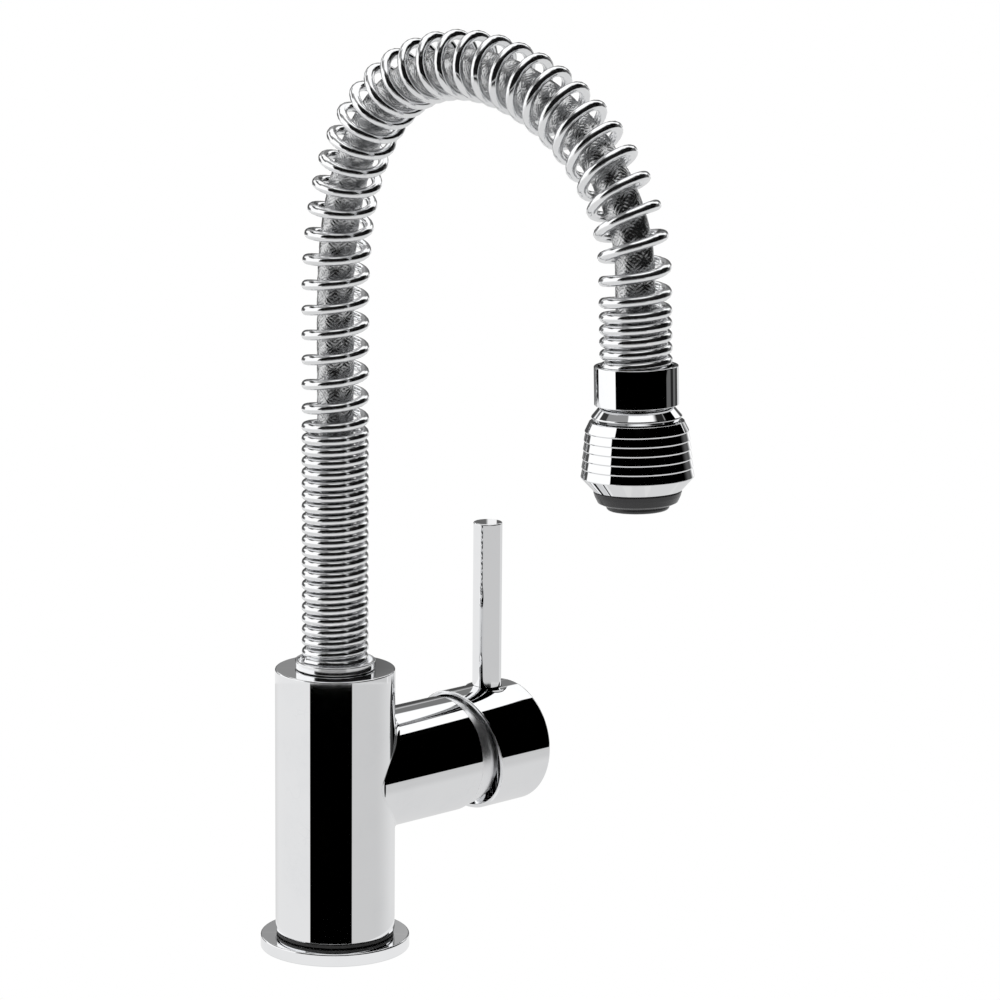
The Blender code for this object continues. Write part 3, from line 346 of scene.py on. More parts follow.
latheGroup = socketGroup("latheLines", [("Place", "NodeSocketVector", None)],
                         [("Lines", "NodeSocketFloat")], latheLines)


def newMaterial(name):
    material = bpy.data.materials.new(name)
    material.use_nodes = True
    shader = material.node_tree.nodes["Principled BSDF"]
    return material, shader, Wiring(material.node_tree)


def groupNode(w, tree, place):
    made = w.node("ShaderNodeGroup", node_tree=tree)
    w.join(place, made.inputs["Place"])
    return made


def bump(w, height, strength, distance):
    made = w.node("ShaderNodeBump")
    made.inputs["Strength"].default_value = strength
    made.inputs["Distance"].default_value = distance
    w.join(height, made.inputs["Height"])
    return made.outputs[0]


chromeTints = ((0.90, 0.905, 0.915, 1), (0.84, 0.85, 0.865, 1), (0.95, 0.955, 0.96, 1))


def makeChrome(name, smooth, hazy, strength):
    material, shader, w = newMaterial(name)
    plain, cloudy, edge = chromeTints
    surface = groupNode(w, surfaceGroup, w.node("ShaderNodeTexCoord").outputs["Object"])
    tint = w.mix(surface.outputs["Traces"], plain, cloudy)
    w.join(w.mix(surface.outputs["Edge"], tint, edge), shader.inputs["Base Color"])
    w.join(w.blendValue(surface.outputs["Traces"], smooth, hazy), shader.inputs["Roughness"])
    shader.inputs["Metallic"].default_value = 1.0
    w.join(bump(w, surface.outputs["Fine"], strength, 0.000004), shader.inputs["Normal"])
    return material


def makeMetal(name, pale, deep, smooth, rough, strength, turn=(0, 0, 0)):
    material, shader, w = newMaterial(name)
    mapping = w.node("ShaderNodeMapping", vector_type="POINT")
    w.join(w.node("ShaderNodeTexCoord").outputs["Object"], mapping.inputs["Vector"])
    mapping.inputs["Rotation"].default_value = turn
    place = mapping.outputs[0]
    lines = groupNode(w, latheGroup, place).outputs["Lines"]
    surface = groupNode(w, surfaceGroup, place)
    tint = w.mix(lines, pale, deep)
    w.join(w.mix(surface.outputs["Edge"], tint, pale), shader.inputs["Base Color"])
    w.join(w.blendValue(surface.outputs["Traces"], smooth, rough), shader.inputs["Roughness"])
    shader.inputs["Metallic"].default_value = 1.0
    w.join(bump(w, lines, strength, 0.00002), shader.inputs["Normal"])
    return material


def makeMoulded(name, pale, deep, smooth, rough, grain, strength, specular=0.5):
    material, shader, w = newMaterial(name)
    place = w.node("ShaderNodeTexCoord").outputs["Object"]
    surface = groupNode(w, surfaceGroup, place)
    cloud = w.noise(place, 70.0, 4.0, 0.55)
    pit = w.noise(place, grain, 4.0, 0.65)
    tint = w.mix(cloud, deep, pale)
    w.join(w.mix(surface.outputs["Edge"], tint, pale), shader.inputs["Base Color"])
    w.join(w.blendValue(w.math("MULTIPLY", pit, cloud), smooth, rough), shader.inputs["Roughness"])
    shader.inputs["Specular IOR Level"].default_value = specular
    w.join(bump(w, pit, strength, 0.00003), shader.inputs["Normal"])
    return material


# deep is the painted shade where the braid's wires meet, and it also darkens some wires at random; pale is
# the wires' own colour
braidLook = {"pale": (0.80, 0.805, 0.81, 1), "deep": (0.20, 0.203, 0.206, 1), "wires": 6.0, "smooth": 0.12,
             "rough": 0.26}


def makeBraidMetal():
    # UV: across the strand from 0 to 1 plus the strand's number, and the length along it in millimetres
    material, shader, w = newMaterial("braidedWire")
    apart = w.node("ShaderNodeSeparateXYZ")
    w.join(w.node("ShaderNodeUVMap").outputs[0], apart.inputs[0])
    across = w.math("FRACT", apart.outputs[0])
    number = w.math("FLOOR", apart.outputs[0])
    ridge = w.math("ABSOLUTE", w.math("SINE", w.math("MULTIPLY", across, pi * braidLook["wires"])))
    packed = w.node("ShaderNodeCombineXYZ")
    w.join(w.math("MULTIPLY", number, 3.7), packed.inputs[0])
    w.join(w.math("FLOOR", w.math("MULTIPLY", across, braidLook["wires"])), packed.inputs[1])
    w.join(w.math("MULTIPLY", apart.outputs[1], 0.12), packed.inputs[2])
    varied = w.noise(packed.outputs[0], 2.3, 2.0)
    # painted shade: each wire darkens towards its edges where it meets the next wire, and each wire's tone
    # also differs at random
    shadeAndTone = w.math("MULTIPLY", w.step(ridge, 0.05, 0.75), w.step(varied, 0.25, 0.6, 0.55, 1.0))
    w.join(w.mix(shadeAndTone, braidLook["deep"], braidLook["pale"]), shader.inputs["Base Color"])
    w.join(w.blendValue(varied, braidLook["smooth"], braidLook["rough"]), shader.inputs["Roughness"])
    shader.inputs["Metallic"].default_value = 1.0
    w.join(bump(w, ridge, 0.2, 0.00004), shader.inputs["Normal"])
    return material


alongArm = (0, -pi / 2, 0)
chrome = makeChrome("polishedChrome", 0.010, 0.024, 0.01)
drawnChrome = makeChrome("chromedWire", 0.11, 0.20, 0.05)
satinChrome = makeChrome("satinChrome", 0.30, 0.40, 0.05)
braidMetal = makeBraidMetal()
steelLook = (0.72, 0.725, 0.73, 1), (0.55, 0.555, 0.56, 1), 0.22, 0.36, 0.25
brassLook = (0.83, 0.66, 0.34, 1), (0.62, 0.45, 0.2, 1), 0.2, 0.38, 0.3
steel = makeMetal("turnedSteel", *steelLook)
armSteel = makeMetal("turnedSteelAlongArm", *steelLook, alongArm)
brass = makeMetal("turnedBrass", *brassLook)
armBrass = makeMetal("turnedBrassAlongArm", *brassLook, alongArm)
nickel = makeMetal("nickelledBrass", (0.66, 0.645, 0.61, 1), (0.44, 0.43, 0.40, 1), 0.12, 0.3, 0.12)
blackPlastic = makeMoulded("mouldedBlack", (0.020, 0.020, 0.021, 1), (0.010, 0.010, 0.011, 1), 0.2, 0.42,
                           1500.0, 0.2)
greyPlastic = makeMoulded("mouldedGrey", (0.46, 0.47, 0.49, 1), (0.38, 0.39, 0.41, 1), 0.3, 0.5, 1300.0, 0.2)
whitePlastic = makeMoulded("mouldedWhite", (0.87, 0.87, 0.85, 1), (0.78, 0.78, 0.755, 1), 0.28, 0.46,
                           1300.0, 0.18)
ceramic = makeMoulded("lappedCeramic", (0.92, 0.905, 0.87, 1), (0.84, 0.82, 0.78, 1), 0.08, 0.22, 2600.0,
                      0.06)
rubber = makeMoulded("sealRubber", (0.05, 0.05, 0.05, 1), (0.02, 0.02, 0.02, 1), 0.5, 0.8, 2100.0, 0.4, 0.35)
print("stage: materials")


def rounded(corners, closed=True):
    # corners of an outline as (radius, height, round); each round becomes a short arc
    points = []
    last = len(corners) - 1
    for i, (radius, height, size) in enumerate(corners):
        here = Vector((radius, height))
        if size <= 0 or (not closed and i in (0, last)):
            points.append((radius, height))
            continue
        back = (Vector(corners[i - 1][:2]) - here).normalized()
        on = (Vector(corners[(i + 1) % len(corners)][:2]) - here).normalized()
        half = back.angle(on) / 2
        centre = here + (back + on).normalized() * (size / sin(half))
        first = here + back * (size / tan(half)) - centre
        final = here + on * (size / tan(half)) - centre
        turn = first.angle(final)
        steps = max(2, ceil(turn / roundStep))
        for k in range(steps + 1):
            share = k / steps
            spoke = first * sin((1 - share) * turn) + final * sin(share * turn)
            points.append(tuple(centre + spoke / sin(turn)))
    return points


def latheMesh(name, outline, sides, place, closed=True):
    # the outline is a list of (radius, height), or a function that gives one for an angle
    at = outline if callable(outline) else lambda angle: outline
    form = bmesh.new()
    rings = []
    for k in range(sides):
        angle = 2 * pi * k / sides
        rings.append([place @ Vector((r * cos(angle), r * sin(angle), h)) for r, h in at(angle)])
    poles = {i for i, (r, h) in enumerate(at(0)) if r < 1e-9}
    verts = []
    polePoints = {i: form.verts.new(rings[0][i]) for i in poles}
    for ring in rings:
        verts.append([polePoints[i] if i in poles else form.verts.new(p) for i, p in enumerate(ring)])
    count = len(rings[0])
    pairs = [(i, i + 1) for i in range(count - 1)]
    if closed and not (0 in poles and count - 1 in poles):
        pairs.append((count - 1, 0))
    for k in range(sides):
        here, following = verts[k], verts[(k + 1) % sides]
        for i, j in pairs:
            corner = []
            for vert in (here[i], following[i], following[j], here[j]):
                if vert not in corner:
                    corner.append(vert)
            if len(corner) > 2:
                form.faces.new(corner)
    bmesh.ops.recalc_face_normals(form, faces=form.faces)
    mesh = bpy.data.meshes.new(name)
    form.to_mesh(mesh)
    form.free()
    return mesh


def loose(name, mesh):
    item = bpy.data.objects.new(name, mesh)
    bpy.context.scene.collection.objects.link(item)
    return item


def bake(item):
    # the finished mesh of an item with its modifiers; the item goes
    bpy.context.view_layer.update()
    graph = bpy.context.evaluated_depsgraph_get()
    mesh = bpy.data.meshes.new_from_object(item.evaluated_get(graph))
    old = item.data
    bpy.data.objects.remove(item)
    bpy.data.meshes.remove(old)
    return mesh


def cut(mesh, cutters, operation="DIFFERENCE"):
    item = loose("cutting", mesh)
    tools = [loose("tool", tool) for tool in cutters]
    for tool in tools:
        step = item.modifiers.new("cut", "BOOLEAN")
        step.operation = operation
        step.solver = "EXACT"
        step.object = tool
    result = bake(item)
    for tool in tools:
        data = tool.data
        bpy.data.objects.remove(tool)
        bpy.data.meshes.remove(data)
    return result


def shade(mesh, angle=32):
    # smooth between sharp edges, with the large faces keeping their own direction
    mesh.shade_smooth()
    mesh.set_sharp_from_angle(angle=radians(angle))
    item = loose("shading", mesh)
    weigh = item.modifiers.new("weigh", "WEIGHTED_NORMAL")
    weigh.keep_sharp = True
    weigh.weight = 100
    return bake(item)


def cornerNormals(mesh):
    values = np.zeros(len(mesh.loops) * 3)
    mesh.corner_normals.foreach_get("vector", values)
    return values.reshape(-1, 3)


def trueRound(mesh, place, radius, tolerance=0.00002):
    # corners on a cylinder about the place's Z get the cylinder's own direction
    points = np.zeros(len(mesh.vertices) * 3)
    mesh.vertices.foreach_get("co", points)
    back = np.array(place.inverted())
    local = points.reshape(-1, 3) @ back[:3, :3].T + back[:3, 3]
    spoke = local.copy()
    spoke[:, 2] = 0
    length = np.linalg.norm(spoke, axis=1)
    on = np.abs(length - radius) < tolerance
    spoke = (spoke / np.maximum(length, 1e-9)[:, None]) @ np.array(place)[:3, :3].T
    index = np.zeros(len(mesh.loops), dtype=int)
    mesh.loops.foreach_get("vertex_index", index)
    normals = cornerNormals(mesh)
    faces = np.zeros(len(mesh.polygons) * 3)
    mesh.polygons.foreach_get("normal", faces)
    sizes = np.zeros(len(mesh.polygons), dtype=int)
    mesh.polygons.foreach_get("loop_total", sizes)
    faces = np.repeat(faces.reshape(-1, 3), sizes, axis=0)
    fits = on[index] & (np.einsum("ij,ij->i", faces, spoke[index]) > 0.995)
    normals[fits] = spoke[index][fits]
    mesh.normals_split_custom_set(normals.tolist())


def joined(name, meshes):
    # several shaded meshes as one, with their corner normals kept
    points, faces, normals = [], [], []
    for mesh in meshes:
        start = len(points)
        points += [tuple(v.co) for v in mesh.vertices]
        faces += [tuple(start + i for i in face.vertices) for face in mesh.polygons]
        normals.append(cornerNormals(mesh))
    whole = bpy.data.meshes.new(name)
    whole.from_pydata(points, [], faces)
    whole.shade_smooth()
    whole.normals_split_custom_set(np.concatenate(normals).tolist())
    for mesh in meshes:
        bpy.data.meshes.remove(mesh)
    return whole


def piece(name, mesh, material, slot, body, *stands):
    mesh.name = name
    mesh.materials.clear()
    mesh.materials.append(material)
    item = bpy.data.objects.new(name, mesh)
    made.objects.link(item)
    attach(item, body)
    if stands:
        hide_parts(*stands)
    return item


def turned(name, corners, sides, place, *finish, closed=True):
    # finish is the material, a slot name that is not used, and the body, and then the nodes that the piece
    # stands for
    piece(name, shade(latheMesh(name, rounded(corners, closed), sides, place, closed)), *finish)


def bar(name, radius, start, end, sides, place=standing):
    # a round cutter between two heights on the place's Z
    return latheMesh(name, [(0, start), (radius, start), (radius, end), (0, end)], sides, place)


footSize = {"radius": 0.030, "height": 0.0052, "edge": 0.0006, "bore": 0.0163, "gasketOut": 0.0266,
            "gasketIn": 0.0219, "gasketRoof": 0.0023, "sealOut": 0.0215, "sealIn": 0.0193,
            "sealFloor": 0.003, "sides": 192}


def makeFoot():
    s = footSize
    corners = [(s["bore"], s["height"], 0), (s["sealIn"], s["height"], 0), (s["sealIn"], s["sealFloor"], 0),
               (s["sealOut"], s["sealFloor"], 0), (s["sealOut"], s["height"], hairEdge),
               (s["radius"], s["height"], s["edge"]), (s["radius"], 0, 0.00045), (s["gasketOut"], 0, 0),
               (s["gasketOut"], s["gasketRoof"], 0), (s["gasketIn"], s["gasketRoof"], 0),
               (s["gasketIn"], 0, 0), (s["bore"], 0, 0)]
    turned("baseFlange", corners, s["sides"], standing, chrome, "chrome", "base", "base_flange")


bandSize = {"in": 0.0231, "out": 0.0236, "low": 0.0056, "top": 0.0068, "edge": 0.0002, "sides": 160}


def makeFootBand():
    # the black ring that shows in the groove between the barrel and the foot
    s = bandSize
    corners = [(s["in"], s["top"], 0), (s["out"], s["top"], s["edge"]), (s["out"], s["low"], s["edge"]),
               (s["in"], s["low"], 0)]
    turned("footBand", corners, s["sides"], standing, rubber, "rubber", "base")


barrelSize = {"radius": 0.024, "top": 0.115, "edge": 0.0006, "bottom": 0.0055, "grooveRadius": 0.023,
              "grooveTop": 0.0074, "spigot": 0.016, "socket": 0.0073, "socketFloor": 0.0935, "sides": 192,
              "screwHeight": 0.10475, "screwHole": 0.0023}
armSize = {"radius": 0.0237, "height": 0.069, "end": 0.060, "edge": 0.0009, "start": 0.006, "seat": 0.018,
           "seatFloor": 0.030, "nutShelf": 0.048, "nutBore": 0.0195, "sides": 160, "fillet": 0.0035,
           "filletSteps": 12, "filletLift": 0.000004}
holeSize = {"inletSide": 0.008, "thread": 0.0046, "threadDepth": 0.014, "inlet": 0.0032, "inletTop": 0.060,
            "studX": -0.0108, "stud": 0.0034, "studDepth": 0.020, "sides": 40}
armFrame = Matrix.Translation((0, 0, armSize["height"])) @ Matrix.Rotation(pi / 2, 4, "Y")


def filletMesh():
    # a ball rolling in the corner between the barrel and the arm leaves this strip
    s = armSize
    ball = s["fillet"]
    reach = s["radius"] + ball
    sides, steps = s["sides"], s["filletSteps"]
    points, normals = [], []
    for k in range(sides):
        turn = 2 * pi * k / sides
        out = Vector((0, cos(turn), sin(turn)))
        y = reach * cos(turn)
        x = sqrt((barrelSize["radius"] + ball) ** 2 - y * y)
        centre = Vector((x, y, s["height"] + reach * sin(turn)))
        onArm = -out
        flat = Vector((centre.x, centre.y, 0))
        onBarrel = -flat.normalized()
        span = onArm.angle(onBarrel)
        for i in range(steps + 1):
            share = i / steps
            way = onArm * sin((1 - share) * span) + onBarrel * sin(share * span)
            way = way / sin(span)
            points.append(centre + way * (ball - s["filletLift"]))
            normals.append(-way)
    faces = []
    row = steps + 1
    for k in range(sides):
        for i in range(steps):
            a = k * row + i
            b = (k + 1) % sides * row + i
            faces.append((a, a + 1, b + 1, b))
    mesh = bpy.data.meshes.new("fillet")
    mesh.from_pydata(points, [], faces)
    mesh.update()
    if mesh.polygons[0].normal.dot(normals[0]) < 0:
        mesh.flip_normals()
    mesh.shade_smooth()
    mesh.normals_split_custom_set_from_vertices(normals)
    return mesh


def makeBody():
    s, h = barrelSize, holeSize
    corners = [(0, s["socketFloor"], 0), (s["socket"], s["socketFloor"], 0),
               (s["socket"], s["top"], softEdge),
               (s["radius"], s["top"], s["edge"]), (s["radius"], s["grooveTop"], 0.00025),
               (s["grooveRadius"], s["grooveTop"], 0), (s["grooveRadius"], s["bottom"], 0),
               (s["spigot"], s["bottom"], 0), (s["spigot"], 0, softEdge), (0, 0, 0)]
    barrel = latheMesh("barrel", rounded(corners, False), s["sides"], standing, False)
    holes = []
    for side in (-1, 1):
        place = Matrix.Translation((0, side * h["inletSide"], 0))
        outline = [(0, -0.002), (h["thread"], -0.002), (h["thread"], h["threadDepth"]),
                   (h["inlet"], h["threadDepth"]), (h["inlet"], h["inletTop"]), (0, h["inletTop"])]
        holes.append(latheMesh("inlet", outline, h["sides"], place))
    place = Matrix.Translation((h["studX"], 0, 0))
    holes.append(bar("stud", h["stud"], -0.002, h["studDepth"], h["sides"], place))
    backward = Matrix.Translation((0, 0, s["screwHeight"])) @ Matrix.Rotation(-pi / 2, 4, "X")
    holes.append(bar("screw", s["screwHole"], 0.001, s["radius"] + 0.002, h["sides"], backward))
    barrel = shade(cut(barrel, holes))
    trueRound(barrel, standing, s["radius"])
    a = armSize
    corners = [(a["radius"], a["start"], 0), (a["radius"], a["end"], a["edge"]),
               (a["nutBore"], a["end"], hairEdge), (a["nutBore"], a["nutShelf"], 0),
               (a["seat"], a["nutShelf"], 0), (a["seat"], a["seatFloor"], 0)]
    arm = shade(latheMesh("arm", rounded(corners, False), a["sides"], armFrame, False))
    piece("mixerBody", joined("mixerBody", [barrel, arm, filletMesh()]), chrome, "chrome", "base",
          "mixer_body")


dressSize = {"pivot": 0.062, "radius": 0.0228, "start": 0.0603, "end": 0.0695, "edge": 0.0007, "lip": 0.015,
             "lipWall": 0.0014, "wall": 0.0022, "thread": 0.0171, "threadEnd": 0.0643, "sides": 144}


def makeDressRing():
    s = dressSize
    low = asin((s["start"] - s["pivot"]) / s["radius"])
    high = asin((s["end"] - s["pivot"]) / s["radius"])
    zone = [(s["radius"] * cos(a), s["pivot"] + s["radius"] * sin(a), 0) for a in np.linspace(high, low, 10)]
    cavity = zone[0][0] - s["wall"]
    top = s["end"] + s["edge"]
    corners = [(s["lip"], top, hairEdge), (zone[0][0] - s["edge"], top, softEdge), *zone,
               (s["thread"], s["start"], 0), (s["thread"], s["threadEnd"], 0), (cavity, s["threadEnd"], 0),
               (cavity, top - s["lipWall"], 0), (s["lip"], top - s["lipWall"], 0)]
    turned("dressRing", corners, s["sides"], armFrame, satinChrome, "chrome", "base", "dress_ring")


handleSize = {"radius": 0.0252, "wall": 0.0016, "end": 0.0345, "endWall": 0.003, "round": 0.0013,
              "rim": 0.0065, "slant": radians(10.1), "rimEdge": 0.00045, "hub": 0.008, "hubStart": 0.012,
              "leverAt": 0.0215, "leverBoss": 0.0086, "grubBoss": 0.0055, "square": 0.0036,
              "squareEnd": 0.0243, "grub": 0.0025, "plug": 0.0033, "plugDepth": 0.0038, "sides": 192,
              "hubSides": 64, "bossSides": 48, "holeSides": 80, "grubSides": 56}
leverSize = {"radius": 0.00595, "top": 0.0937, "edge": 0.0005, "foot": 0.0143, "stud": 0.0031,
             "studEnd": 0.006, "hole": 0.0062, "sides": 96}
plugSize = {"radius": 0.003, "edge": 0.0003, "sides": 48}
tiltFrame = armFrame @ Matrix.Translation((0, 0, dressSize["pivot"]))


def handleOutline(angle):
    # arcs with set numbers of steps, so that every angle has the same number of points
    s = handleSize
    slope = tan(s["slant"]) * cos(angle)
    inner = s["radius"] - s["wall"]
    innerEnd = s["end"] - s["endWall"]
    outerRim = s["rim"] + s["radius"] * slope
    innerRim = s["rim"] + inner * slope
    points = [(0, s["end"])]
    edge = s["round"]
    for k in range(13):
        a = pi / 2 * (1 - k / 12)
        points.append((s["radius"] - edge + edge * cos(a), s["end"] - edge + edge * sin(a)))
    edge = s["rimEdge"]
    for k in range(7):
        a = -pi / 2 * k / 6
        points.append((s["radius"] - edge + edge * cos(a), outerRim + edge + edge * sin(a)))
    small = edge * 0.6
    for k in range(5):
        a = -pi / 2 - pi / 2 * k / 4
        points.append((inner + small + small * cos(a), innerRim + small + small * sin(a)))
    points += [(inner, innerEnd - s["wall"]), (inner - s["wall"], innerEnd), (0, innerEnd)]
    return points


def makeHandle():
    s, r = handleSize, leverSize
    cap = latheMesh("handle", handleOutline, s["sides"], tiltFrame, False)
    inner = s["radius"] - s["wall"]
    across = tiltFrame @ Matrix.Translation((0, 0, s["leverAt"])) @ Matrix.Rotation(-pi / 2, 4, "Y")
    hub = bar("hub", s["hub"], s["hubStart"], s["end"] - s["endWall"] / 2, s["hubSides"], tiltFrame)
    up = bar("leverBoss", s["leverBoss"], 0, inner + s["wall"] / 2, s["hubSides"], across)
    down = bar("grubBoss", s["grubBoss"], -inner - s["wall"] / 2, 0, s["bossSides"], across)
    cap = cut(cap, [hub, up, down], "UNION")
    half = s["square"]
    square = [(-half, -half), (half, -half), (half, half), (-half, half)]
    form = bmesh.new()
    low = [form.verts.new(tiltFrame @ Vector((x, y, s["hubStart"] - 0.002))) for x, y in square]
    high = [form.verts.new(tiltFrame @ Vector((x, y, s["squareEnd"]))) for x, y in square]
    form.faces.new(low)
    form.faces.new(high)
    for i in range(4):
        form.faces.new((low[i], low[(i + 1) % 4], high[(i + 1) % 4], high[i]))
    bmesh.ops.recalc_face_normals(form, faces=form.faces)
    socket = bpy.data.meshes.new("square")
    form.to_mesh(socket)
    form.free()
    out = s["radius"] + 0.002
    seat = [(0, r["studEnd"] - fitGap), (r["stud"] + fitGap, r["studEnd"] - fitGap),
            (r["stud"] + fitGap, r["foot"] - fitGap), (r["hole"], r["foot"] - fitGap), (r["hole"], out),
            (0, out)]
    leverHole = latheMesh("leverHole", seat, s["holeSides"], across)
    plugStart = s["radius"] - s["plugDepth"]
    grubPath = [(0, -out), (s["plug"], -out), (s["plug"], -plugStart), (s["grub"], -plugStart),
                (s["grub"], -half / 2), (0, -half / 2)]
    grubHole = latheMesh("grubHole", grubPath, s["grubSides"], across)
    cap = shade(cut(cap, [socket, leverHole, grubHole]))
    trueRound(cap, tiltFrame, s["radius"])
    piece("handleCap", cap, chrome, "chrome", "handle", "handle_cap")
    corners = [(0, r["top"], 0), (r["radius"], r["top"], r["edge"]), (r["radius"], r["foot"], softEdge),
               (r["stud"], r["foot"], 0), (r["stud"], r["studEnd"], 0), (0, r["studEnd"], 0)]
    turned("leverRod", corners, r["sides"], across, chrome, "chrome", "handle", "lever_rod", closed=False)
    p = plugSize
    face = sqrt(s["radius"] ** 2 - p["radius"] ** 2)
    corners = [(0, -face, 0), (p["radius"], -face, p["edge"]), (p["radius"], -plugStart - fitGap, 0),
               (0, -plugStart - fitGap, 0)]
    turned("screwPlug", corners, p["sides"], across, chrome, "chrome", "handle", "screw_plug", closed=False)


collarSize = {"radius": 0.016, "top": 0.1187, "edge": 0.0005, "low": 0.1153, "recess": 0.015,
              "floor": 0.1169, "slipOut": 0.0138, "slipIn": 0.0097, "slipRoof": 0.1164, "hole": 0.0073,
              "sides": 128}


def makeCollar():
    s = collarSize
    corners = [(s["recess"], s["top"], hairEdge), (s["radius"], s["top"], s["edge"]),
               (s["radius"], s["low"], s["edge"]), (s["slipOut"], s["low"], 0),
               (s["slipOut"], s["slipRoof"], 0), (s["slipIn"], s["slipRoof"], 0),
               (s["slipIn"], s["low"], 0), (s["hole"], s["low"], 0), (s["hole"], s["floor"], 0),
               (s["recess"], s["floor"], hairEdge)]
    turned("swivelCollar", corners, s["sides"], standing, drawnChrome, "chrome", "spout", "swivel_collar")


routeSize = {"floor": 0.1172, "bendStart": 0.264, "reach": 0.1648, "headHeight": 0.2591,
             "lean": radians(2.13), "footPull": 0.147, "headPull": 0.0727, "headStraight": 0.0341,
             "recess": 0.0045, "steps": 400}
headOrigin = Vector((0, -routeSize["reach"], routeSize["headHeight"]))
headUp = Vector((0, sin(routeSize["lean"]), cos(routeSize["lean"])))


def routeTable():
    s = routeSize
    start = Vector((0, 0, s["bendStart"]))
    end = headOrigin + headUp * s["headStraight"]
    handles = [start, start + Vector((0, 0, s["footPull"])), end + headUp * s["headPull"], end]
    places = [Vector((0, 0, s["floor"]))]
    for i in range(s["steps"] + 1):
        t = i / s["steps"]
        weights = [(1 - t) ** 3, 3 * (1 - t) ** 2 * t, 3 * (1 - t) * t * t, t ** 3]
        places.append(sum((w * p for w, p in zip(weights, handles)), Vector((0, 0, 0))))
    places.append(headOrigin - headUp * s["recess"])
    places = np.array(places)
    parts = np.diff(places, axis=0)
    lengths = np.linalg.norm(parts, axis=1)
    ways = parts / lengths[:, None]
    middle = ways[:-1] + ways[1:]
    middle /= np.linalg.norm(middle, axis=1)[:, None]
    directions = np.concatenate([ways[:1], middle, ways[-1:]])
    return np.concatenate([[0], np.cumsum(lengths)]), places, directions


routeLengths, routePlaces, routeWays = routeTable()


def along(distances):
    # points of the route, its direction there, and the direction away from the inside of the arch
    here = np.stack([np.interp(distances, routeLengths, routePlaces[:, i]) for i in range(3)], axis=1)
    way = np.stack([np.interp(distances, routeLengths, routeWays[:, i]) for i in range(3)], axis=1)
    way /= np.linalg.norm(way, axis=1)[:, None]
    out = np.cross(way, [1, 0, 0])
    out /= np.linalg.norm(out, axis=1)[:, None]
    return here, way, out


def ramp(turns):
    return np.where(turns <= -1, 0, np.where(turns >= 1, turns, (turns + 1) ** 2 / 4))


springSize = {"wire": 0.0020, "seat": 0.0018, "coil": 0.0114, "tight": 0.00454, "foot": 20.976,
              "open": 32.5, "head": 5.6, "start": radians(-33.44), "perCurl": 28, "sides": 18,
              "endShare": 0.02, "lead": 0.4, "sink": 0.0007,
              "tip": 0.00025}


def springPoints(turns):
    s = springSize
    seat = s["seat"] + 2 * fitGap
    curls = s["foot"] + s["open"] + s["head"]
    opening = (routeLengths[-1] - 2 * seat - s["tight"] * curls) / s["open"]
    openTurns = ramp(turns - s["foot"]) - ramp(turns - s["foot"] - s["open"])
    here, way, out = along(seat + np.maximum(s["tight"] * turns, -s["sink"]) + opening * openTurns)
    angle = (s["start"] + 2 * pi * turns)[:, None]
    spoke = np.array([1, 0, 0]) * np.cos(angle) + out * np.sin(angle)
    return here + s["coil"] * spoke, spoke


def tubeMesh(name, centres, spokes, radius, sides, tip=0.0):
    # a round wire through the centres; the spokes hold it from twisting
    ways = np.gradient(centres, axis=0)
    ways /= np.linalg.norm(ways, axis=1)[:, None]
    first = spokes - ways * np.einsum("ij,ij->i", spokes, ways)[:, None]
    first /= np.linalg.norm(first, axis=1)[:, None]
    second = np.cross(ways, first)
    angles = 2 * pi * np.arange(sides) / sides
    scale = np.full(len(centres), radius)
    if tip:
        scale[0] -= tip
        scale[-1] -= tip
    ring = first[:, None, :] * np.cos(angles)[None, :, None]
    ring = ring + second[:, None, :] * np.sin(angles)[None, :, None]
    points = centres[:, None, :] + ring * scale[:, None, None]
    count = len(centres)
    i = np.arange(count - 1)[:, None] * sides
    k = np.arange(sides)[None, :]
    on = (k + 1) % sides
    quads = np.stack([i + k, i + on, i + sides + on, i + sides + k], axis=2).reshape(-1, 4)
    faces = quads.tolist()
    faces.append(list(range(sides))[::-1])
    faces.append([(count - 1) * sides + j for j in range(sides)])
    mesh = bpy.data.meshes.new(name)
    mesh.from_pydata(points.reshape(-1, 3).tolist(), [], faces)
    mesh.update()
    mesh.shade_smooth()
    mesh.set_sharp_from_angle(angle=radians(50))
    return mesh


def makeSpring():
    s = springSize
    curls = s["foot"] + s["open"] + s["head"]
    turns = np.linspace(-s["lead"], curls, round((curls + s["lead"]) * s["perCurl"]) + 1)
    centres, spokes = springPoints(turns)
    near, _ = springPoints(np.array([s["endShare"] - s["lead"], curls - s["endShare"]]))
    startWay = (centres[0] - near[0]) / np.linalg.norm(centres[0] - near[0])
    endWay = (centres[-1] - near[1]) / np.linalg.norm(centres[-1] - near[1])
    stub = 2 * s["wire"]
    shares = np.array([0.34, 0.67, 0.93, 1.0])
    before = centres[0] + startWay * stub * shares[::-1, None]
    after = centres[-1] + endWay * stub * shares[:, None]
    centres = np.concatenate([before, centres, after])
    spokes = np.concatenate([np.repeat(spokes[:1], 4, axis=0), spokes, np.repeat(spokes[-1:], 4, axis=0)])
    mesh = tubeMesh("spring", centres, spokes, s["wire"], s["sides"], s["tip"])
    piece("guideSpring", mesh, drawnChrome, "chrome", "spout", "spring")


hoseSize = {"radius": 0.00735, "inset": 0.0009, "start": 0.1198, "endDepth": 0.0017, "strands": 24,
            "angle": radians(43), "width": 0.00118, "weave": 0.00009, "step": 0.00036, "core": 0.00688,
            "crown": 0.00006, "under": 0.00004,
            "square": 1.6, "shares": (-1.0, -0.45, 0.45, 1.0), "backingSteps": 160, "backingSides": 40}


def hoseCentre(distances):
    here, way, out = along(distances)
    start = routeSize["bendStart"] - routeSize["floor"]
    end = routeLengths[-1] - routeSize["recess"] - routeSize["headStraight"]
    share = np.clip((distances - start) / (end - start), 0, 1)
    return here - out * (hoseSize["inset"] * np.sin(pi * share))[:, None], way, out


